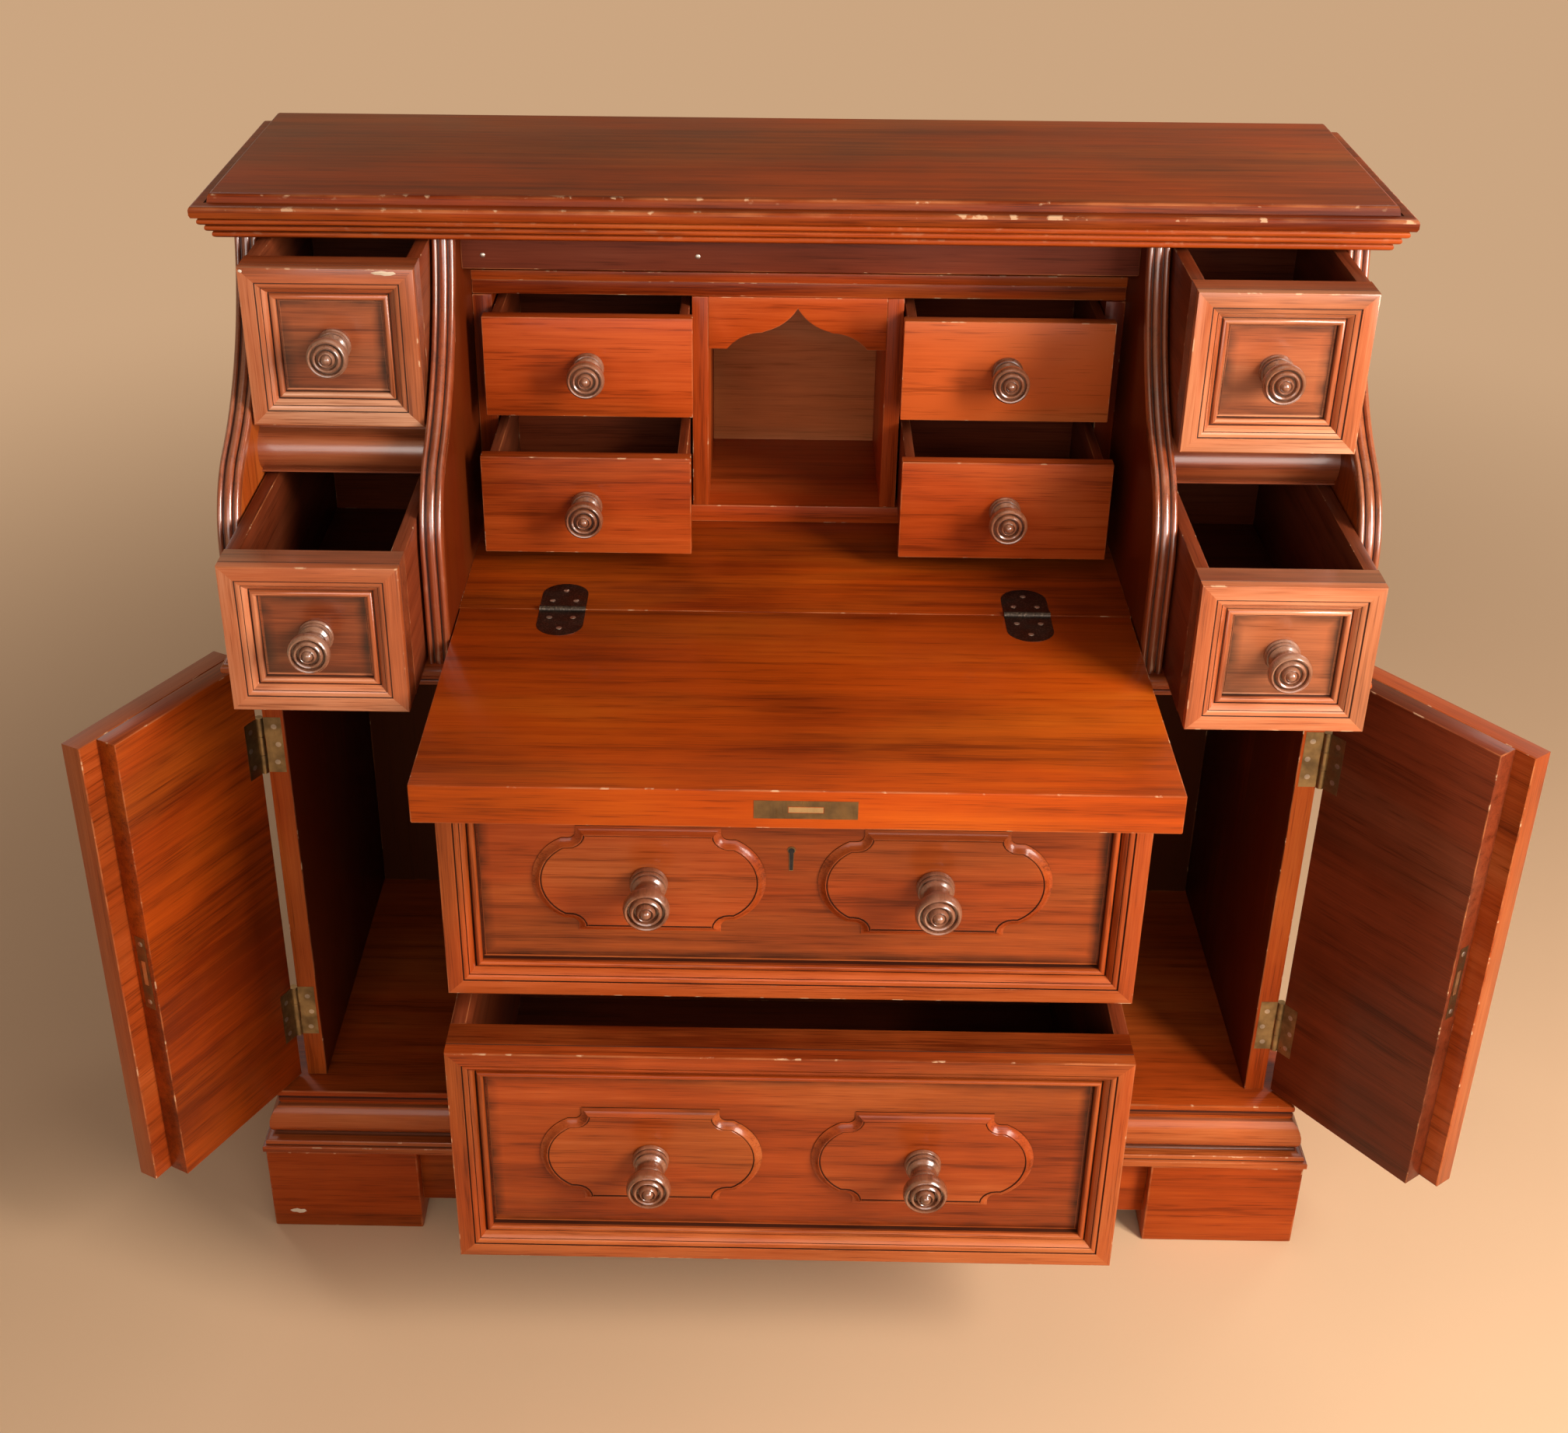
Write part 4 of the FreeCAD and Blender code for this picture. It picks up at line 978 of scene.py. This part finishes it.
# %% Drawer boxes
def drawer_box(work, x, y, z, thickness):
    bottom = 6.0
    inner = (x[0] + thickness, x[1] - thickness)
    for side in ((x[0], inner[0]), (inner[1], x[1])):
        work.board(side, y, z, "y", 0.8)
    work.board(inner, y, (z[0], z[0] + bottom), "x", 0.4)
    work.board(inner, (y[1] - thickness, y[1]), (z[0] + bottom, z[1]), "x", 0.8)


def box_and_knobs(name, thickness, knob_node):
    work = Joinery()
    drawer_box(work, *span(name + "_box"), thickness)
    work.finish(name + "_box_wood", BOX, name, "interior_wood", name + "_box")
    knobs(knob_node, name)


# %% [markdown]
# ## Side drawers
# Four small drawers, two at each side, with the narrow frame. Their polish is glossier than the rest, and its
# colour is paler and pinker: a painted sheen for the whitish gloss of light on it.

# %% Side drawers
for level in ("upper", "lower"):
    for side in ("left", "right"):
        name = level + "_" + side + "_drawer"
        x, y, z = span(name + "_front")
        work = Joinery()
        framed(work, x, z, y[0], y[1], SIDE_FRAME, -3.5 if side == "left" else -1.5)
        # Painted sheen: the side drawers' finish is paler and pinker for the whitish gloss of light on them.
        work.finish(name + "_front_wood", SHEEN_PAINTED, name, "front_wood", name + "_front")
        box_and_knobs(name, 12.0, name + "_knob")

# %% [markdown]
# ## Long drawers and their cartouches
# Each long drawer has two raised plates with round ends and notched shoulders. The rim of a plate is a
# hollow that climbs from the panel to a sharp inner line, so the outline is raised a little and then drawn
# in by steps that rise faster and faster. Drawing it in is a formula: straight sides move, arcs change
# radius.

# %% Cartouches and long drawers
PLATE_MIDDLE = 127.0
PLATE_HALF = 64.0
PLATE_HEAD = 56.0
SHOULDER = 43.0
SHOULDER_ROUND = 7.0
END_CENTRE = 56.3
END_RADIUS = 47.7
PLATE_RISE = ((0.0, 0.0, 0), (0.0, 1.0, -1), (0.9, 1.3, 0), (2.2, 2.0, 0), (3.6, 3.1, 0), (4.8, 4.3, 0),
              (5.8, 5.4, 0), (6.4, 6.0, 0.3), (7.2, 6.0, 0.3), (7.5, 5.2, -1), (8.3, 5.2, -1),
              (8.7, 5.7, 0.2))


def plate_corners(x, y, z, inset):
    """The outline of a cartouche, drawn in by some distance. Notches grow as the round ends shrink."""
    notch = SHOULDER_ROUND + inset
    bulge = END_RADIUS - inset
    sweep = math.asin((SHOULDER - inset) / bulge)
    quarter = [(PLATE_HALF - inset, PLATE_HEAD - inset)]
    for step in range(6):
        angle = math.pi + step / 5 * math.pi / 2
        quarter.append((PLATE_HALF + SHOULDER_ROUND + notch * math.cos(angle),
                        SHOULDER + SHOULDER_ROUND + notch * math.sin(angle)))
    for step in range(10):
        angle = sweep * (1 - step / 10)
        quarter.append((END_CENTRE + bulge * math.cos(angle), bulge * math.sin(angle)))
    quarter.append((END_CENTRE + bulge, 0.0))
    half = quarter + [(u, -w) for u, w in reversed(quarter[:-1])]
    outline = half + [(-u, w) for u, w in reversed(half)]
    return [Vector((x + u, y, z + w)) for u, w in outline]


def cartouche(work, x, y, z):
    work.rings([(plate_corners(x, y - rise, z, inset), wear) for inset, rise, wear in PLATE_RISE], "x")


for level in ("upper", "lower"):
    name = level + "_long_drawer"
    x, y, z = span(name + "_front")
    work = Joinery()
    framed(work, x, z, y[0], y[1], LONG_FRAME, -1.0)
    for middle in (-PLATE_MIDDLE, PLATE_MIDDLE):
        cartouche(work, middle, y[0] + LONG_FRAME[1], sum(span(name + "_knobs")[2]) / 2)
    work.finish(name + "_front_wood", FRONT, name, "front_wood", name + "_front")
    box_and_knobs(name, 14.0, name + "_knobs")

# %% [markdown]
# ## Drawers of the fitted case
# These have flat fronts with nothing but an eased edge, and a small knob. The upper right front is painted
# lighter, a painted light, and the lower fronts are painted darker, a painted shade.

# %% Case drawers
# Painted light and shade: the upper right front is lighter, the lower fronts darker.
CASE_LIGHT_AND_SHADE = {"upper_left": 0.0, "upper_right": 5.5, "lower_left": -3.0, "lower_right": -0.5}
CASE_FRONT_THICK = 14.0
for level in ("upper", "lower"):
    for side in ("left", "right"):
        tone = CASE_LIGHT_AND_SHADE[level + "_" + side]
        name = "case_" + level + "_" + side
        x, y, z = span(name + "_drawer")
        box_x = (x[0] + 5.0, x[1] - 5.0)
        work = Joinery()
        work.board(x, (y[0], y[0] + CASE_FRONT_THICK), (z[0] + 1.0, z[1]), "x", 1.0, tone)
        work.finish(name + "_front_wood", CASE, name + "_drawer", "case_wood", name + "_drawer")
        work = Joinery()
        drawer_box(work, box_x, (y[0] + CASE_FRONT_THICK, y[1]), (z[0], z[1] - 8.0), 9.0)
        work.finish(name + "_box_wood", BOX, name + "_drawer", "interior_wood")
        knobs(name + "_knob", name + "_drawer")

# %% [markdown]
# ## Writing board and fall
# Two thick boards meet at the hinges. They stop a hair short of the brass, so that the leaves and the lock
# plate lie on the wood and show.

# %% Writing board and fall
HAIR = 0.25
writing_x, writing_y, writing_z = span("writing_board")
work = Joinery()
# Painted shade: the writing board is darkened for the shadow of the case and the right pedestal.
work.board(writing_x, writing_y, (writing_z[0], writing_z[1] - HAIR), "x", 0.6, -3.0)
work.fix("writing_board", WRITING, "writing_wood")
fall_x, fall_y, fall_z = span("flap_board")
work = Joinery()
work.board(fall_x, (fall_y[0] + HAIR, fall_y[1]), (fall_z[0], fall_z[1] - HAIR), "x", 1.2)
work.finish("fall_wood", WRITING, "fall", "writing_wood", "flap_board")

# %% [markdown]
# ## Doors
# A door is a board with a framed front that laps past it at the free edge. It is built closed, where it is
# square to everything, and then swung on its hinge line to where it stands; the left door is the mirror
# image. Both doors' backs are painted darker, the right one much the darker: painted shade for the side
# that they turn from the light.

# %% Doors
HINGE_LINE = -376.25
PIVOT = Vector((516.5, HINGE_LINE, 0)) * MM
door_z = span("right_door_board")[2]
DOOR_EDGE = 335.0
LIP_EDGE = 314.5
DOOR_BACK = -376.5
DOOR_JOINT = -398.5
DOOR_FACE = -420.5


def standing(side):
    """The move from the closed right door to where a door stands."""
    angle = math.radians({"left": 118.0, "right": 127.0}[side])
    swung = Matrix.Translation(PIVOT) @ Matrix.Rotation(angle, 4, "Z") @ Matrix.Translation(-PIVOT)
    return Matrix.Scale(-1, 4, Vector((1, 0, 0))) @ swung if side == "left" else swung


# Painted shade: both door backs are darkened, the right one much more and in a darker wood.
for side, wood, tone in (("left", WRITING, -3.5), ("right", BOX, -2.0)):
    work = Joinery()
    work.board((DOOR_EDGE + HAIR, CARCASS_HALF), (DOOR_JOINT, DOOR_BACK), door_z, "x", 1.0, tone)
    work.finish(side + "_door_board_wood", wood, side + "_door", "front_wood", side + "_door_board",
                place=standing(side))
    work = Joinery()
    framed(work, (LIP_EDGE, CARCASS_HALF), door_z, DOOR_FACE, DOOR_JOINT, DOOR_FRAME, -1.0)
    work.finish(side + "_door_frame_wood", FRONT, side + "_door", "front_wood", side + "_door_frame",
                place=standing(side))

# %% [markdown]
# ## Bare spots
# Knocks have laid the wood bare in a few places: a splinter off the upper left drawer, its corner, and a
# scrape on the left foot. Each is a thin plate with a ragged outline.

# %% Bare spots
SPOT = [(-1.0, 0.2), (-0.7, -0.5), (-0.2, -0.6), (0.1, -1.0), (0.6, -0.8), (1.0, -0.1), (0.8, 0.7),
        (0.3, 0.6), (-0.1, 1.0), (-0.6, 0.7)]


def bare_spot(work, x, y, z, half_width, half_height):
    def outline(rise, share):
        return [Vector((x + u * half_width * share, y - rise, z + w * half_height * share)) for u, w in SPOT]

    work.rings([(outline(-0.4, 1.0), 0), (outline(0.12, 1.0), 0), (outline(0.2, 0.9), 0)], "x")


x, y, z = span("upper_left_drawer_front")
work = Joinery()
bare_spot(work, x[1] - 26.0, y[0], z[1] - 3.6, 11.0, 2.2)
bare_spot(work, x[0] + 3.4, y[0], z[1] - 3.0, 1.8, 1.6)
work.finish("upper_left_drawer_bare_spots", BARE, "upper_left_drawer", "front_wood")
work = Joinery()
bare_spot(work, -foot_x[1] + 27.0, foot_y[0], 22.0, 9.0, 3.4)
work.finish("foot_bare_spot", BARE, "carcass", "carcass_wood")

# %% [markdown]
# ## Screws
# Slotted screws hold the hinge leaves and lock plates. Those of the door hinges are nearly flush, because
# their leaves close on each other.

# %% Screws
SCREW = [(0.0, -0.6), (2.8, -0.6), (2.8, 0.1), (2.3, 0.35), (0.0, 0.45)]
FLUSH = 0.1


def screw(work, place, outward, across, dome=1.0):
    """A round head, domed or nearly flush, with a dark slot across it."""
    outline = [(radius, min(height, height * dome)) for radius, height in SCREW]
    work.turned(outline, place, place + outward, 16)
    side = outward.cross(across).normalized()
    verts = bmesh.ops.create_cube(work.bm, size=1.0)["verts"]
    turn = Matrix((across.normalized(), side, outward.normalized())).transposed().to_4x4()
    bmesh.ops.scale(work.bm, vec=(4.6, 0.7, 0.2), verts=verts)
    middle = place + outward * (outline[-1][1] - 0.08)
    bmesh.ops.transform(work.bm, matrix=Matrix.Translation(middle) @ turn, verts=verts)
    # Painted shade: the slot is a thin bar marked near black for the cut in the head.
    work.wear({face for vert in verts for face in vert.link_faces}, -1.0)
    work.settle("x")


HINGE_HEIGHTS = (263.5, 592.5)
HINGE_SCREW = 503.0
FALL_HINGE = 216.0
FALL_HINGE_LINE = -385.0
DOOR_LOCK = 430.0
UPWARD = Vector((0, 0, 1))


def door_hinge_screws(work, signs, outward, across):
    """Three screws to a leaf, the middle one nearer its free edge."""
    for height in HINGE_HEIGHTS:
        for rise in (-20.0, 0.0, 20.0):
            for sign in signs:
                place = Vector((sign * (HINGE_SCREW - 2.5 * (rise == 0)), HINGE_LINE, height + rise))
                screw(work, place, outward, across, FLUSH)


def fall_hinge_screws(work, way, across):
    for x in (-FALL_HINGE, FALL_HINGE):
        for dx, dy in ((-11.0, 17.0), (11.0, 17.0), (0.0, 38.0)):
            screw(work, Vector((x + dx, FALL_HINGE_LINE + way * dy, WRITING_TOP)), UPWARD, across)


work = Joinery()
door_hinge_screws(work, (-1, 1), Vector((0, -1, 0)), Vector((0.8, 0, 0.6)))
fall_hinge_screws(work, 1, Vector((1, 0.4, 0)))
work.finish("fixed_hinge_screws", STEEL, "carcass", "brass_fittings")
work = Joinery()
fall_hinge_screws(work, -1, Vector((1, -0.5, 0)))
work.finish("fall_screws", STEEL, "fall", "brass_fittings")
for side in ("left", "right"):
    work = Joinery()
    door_hinge_screws(work, (1,), Vector((0, 1, 0)), Vector((0.7, 0, -0.7)))
    for rise in (-34.0, 34.0):
        screw(work, Vector((DOOR_EDGE, -387.5, DOOR_LOCK + rise)), Vector((-1, 0, 0)), Vector((0, 0.5, 1)))
    work.finish(side + "_door_screws", STEEL, side + "_door", "brass_fittings", place=standing(side))

# %% [markdown]
# ## Keyholes
# The upper long drawer has a brass-lined keyhole, and each door a keyhole plate on the outside. Each hole
# is a thin black plate, painted shade for the dark inside it.

# %% Keyholes and their linings
def keyhole(work, x, y, z, width, grow, depth):
    """A key's outline, round above and straight below, as a thin plate facing the front."""
    def at(u, w):
        return Vector((x + u, y, z + w))

    radius = width + grow
    low = -14.0 - grow
    work.trace(at(-0.55 * radius, 4.0), at(-0.45 * radius, low), at(0.45 * radius, low),
               at(0.55 * radius, 4.0), (at(0, 9.0 + 2 * grow), at(-0.55 * radius, 4.0001)))
    loose = [vert for vert in work.bm.verts if not vert.link_faces]
    bmesh.ops.remove_doubles(work.bm, verts=loose, dist=WELD)
    edges = [edge for edge in work.bm.edges if edge.is_wire]
    work.plate(edges, Vector((0, -depth, 0)), "z", 0)


LONG_LOCK = (-1.0, 608.0)
KEYHOLE_X = 333.0
panel_y = span("upper_long_drawer_front")[1][0] + LONG_FRAME[1]
for name, metal, grow, depth in (("key_lining", BRASS, 0.9, 1.1), ("keyhole", HOLLOW, 0.0, 1.4)):
    work = Joinery()
    keyhole(work, LONG_LOCK[0], panel_y + 0.6, LONG_LOCK[1], 3.2, grow, depth)
    work.finish("long_drawer_" + name, metal, "upper_long_drawer", "brass_fittings")
for side in ("left", "right"):
    for name, metal, width, grow, depth in (("key_plate", BRASS, 7.5, 3.0, 1.4),
                                            ("keyhole", HOLLOW, 4.2, 0.0, 1.7)):
        work = Joinery()
        keyhole(work, KEYHOLE_X, DOOR_FACE + 0.4, DOOR_LOCK, width, grow, depth)
        work.finish(side + "_door_" + name, metal, side + "_door", "brass_fittings", place=standing(side))

# %% [markdown]
# ## Solids that stay
# The hinge leaves, pins, lock plates and bolts are right as they are, and only need their metal.

# %% Metal on the solid fittings
METALS = {"hinge_leaves": HINGE, "lock_plate": BRASS, "bolt": BOLT}
count = 0
for name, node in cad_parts.items():
    kinds = [metal for words, metal in METALS.items() if words in name]
    if kinds:
        node.data.materials.clear()
        node.data.materials.append(kinds[0])
        count += 1
print("solid fittings with new metal:", count)

# %% [markdown]
# ## Floor and room
# The desk stands on a pale floor in a warm room. Far from the desk the floor takes on the colour of the
# room, so that no horizon shows.

# %% Floor and room
ROOM = (0.60, 0.38, 0.22, 1.0)
FLOOR_RADIUS = 14.0


def seen_directly(graph):
    """One for rays from the camera, or by way of a mirror or glass."""
    camera, mirror, glass = [graph.node("ShaderNodeLightPath", output="Is " + kind + " Ray")
                             for kind in ("Camera", "Glossy", "Transmission")]
    return camera.larger(mirror).larger(glass)


def pale_floor():
    finish = Finish("pale_floor")
    place = finish.node("ShaderNodeTexCoord", output="Object")
    cloud = finish.noise(place, (1.2, 1.2, 1.2), 4.0)
    finish.set(Base_Color=finish.blend(cloud, ROOM, (0.66, 0.43, 0.26, 1.0)), Roughness=0.8)
    away = finish.node("ShaderNodeVectorMath", {"operation": "LENGTH"}, {0: place}, output="Value")
    share = away.between(0.9, 3.0) * seen_directly(finish)
    glow = finish.node("ShaderNodeEmission", None, {"Color": ROOM, "Strength": 1.0})
    near = Signal(finish, finish.shader.outputs[0])
    finish.join(finish.node("ShaderNodeMixShader", None, {0: share, 1: near, 2: glow}), finish.surface)
    return finish.material


bm = bmesh.new()
bmesh.ops.create_circle(bm, cap_ends=True, segments=96, radius=FLOOR_RADIUS)
floor_mesh = bpy.data.meshes.new("floor")
bm.to_mesh(floor_mesh)
bm.free()
floor_mesh.materials.append(pale_floor())
floor = bpy.data.objects.new("floor", floor_mesh)
floor.location = (0, 0, -0.0004)
bpy.context.scene.collection.objects.link(floor)
floor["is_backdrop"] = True
world = bpy.data.worlds.new("warm_room")
world.use_nodes = True
room = Graph(world.node_tree, "ShaderNodeOutputWorld")
backdrop = room.node("ShaderNodeBackground", None, {"Color": ROOM, "Strength": 1.0})
dim = room.node("ShaderNodeBackground", None, {"Color": (0.80, 0.56, 0.36, 1.0), "Strength": 0.06})
room.join(room.node("ShaderNodeMixShader", None, {0: seen_directly(room), 1: dim, 2: backdrop}), room.surface)
bpy.context.scene.world = world
print("floor radius", FLOOR_RADIUS, "m")

# %% [markdown]
# ## Light
# A few soft lamps: a tall one at the right, a broad one at the camera that draws bright bands along rolls
# and beads, one overhead and two behind.

# %% Lamps
DESK = Vector((0.0, -0.35, 0.60))


def soft_lamp(name, place, size, watts, colour):
    lamp = bpy.data.lights.new(name, "AREA")
    lamp.shape = "RECTANGLE"
    lamp.size, lamp.size_y = size
    lamp.energy = watts
    lamp.color = colour
    holder = bpy.data.objects.new(name, lamp)
    holder.location = place
    holder.rotation_euler = (DESK - Vector(place)).to_track_quat("-Z", "Y").to_euler()
    bpy.context.scene.collection.objects.link(holder)
    print(name, watts, "W")


soft_lamp("main_lamp", (1.67, -1.75, 1.61), (0.7, 1.4), 94.0, (1.0, 0.94, 0.86))
soft_lamp("front_lamp", (0.05, -2.60, 1.45), (2.5, 1.2), 28.0, (1.0, 0.97, 0.94))
soft_lamp("top_lamp", (0.2, -0.5, 3.2), (2.0, 1.5), 7.0, (1.0, 0.95, 0.88))
soft_lamp("back_right_lamp", (2.1, 1.5, 1.9), (0.7, 1.6), 12.0, (1.0, 0.96, 0.92))
soft_lamp("back_left_lamp", (-2.1, 1.5, 1.9), (0.7, 1.6), 12.0, (1.0, 0.96, 0.92))

# %% [markdown]
# ## Camera
# The camera's place and lens were worked out from the desk's own level lines in the photograph.

# %% Camera
PITCH, YAW, ROLL = -0.5214, -0.0138, -0.0072
FOCAL_PIXELS = 2627.19
IMAGE_WIDTH, IMAGE_HEIGHT = 2016, 1843
CENTRE_PIXEL = (953.96, 903.86)
forward = Vector((math.sin(YAW) * math.cos(PITCH), math.cos(YAW) * math.cos(PITCH), math.sin(PITCH)))
level = Vector((math.cos(YAW), -math.sin(YAW), 0))
down = forward.cross(level)
right = math.cos(ROLL) * level + math.sin(ROLL) * down
down = math.cos(ROLL) * down - math.sin(ROLL) * level
camera_data = bpy.data.cameras.new("camera")
camera_data.sensor_width = 36.0
camera_data.lens = FOCAL_PIXELS / IMAGE_WIDTH * camera_data.sensor_width
camera_data.shift_x = (IMAGE_WIDTH / 2 - CENTRE_PIXEL[0]) / IMAGE_WIDTH
camera_data.shift_y = (CENTRE_PIXEL[1] - IMAGE_HEIGHT / 2) / IMAGE_WIDTH
camera = bpy.data.objects.new("camera", camera_data)
turn = Matrix((right, -down, -forward)).transposed()
camera.matrix_world = Matrix.Translation((-0.02496, -2.07675, 1.62368)) @ turn.to_4x4()
bpy.context.scene.collection.objects.link(camera)
bpy.context.scene.camera = camera
bpy.context.scene.view_settings.view_transform = "Standard"
print("camera lens", round(camera_data.lens, 2), "mm")

# %% [markdown]
# ## Check
# The dressed desk has to fit the box of its solids. Its own box is printed.

# %% Print the dressed desk's box
low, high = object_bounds()
print("visual box", [round(value, 4) for value in (*low, *high)])
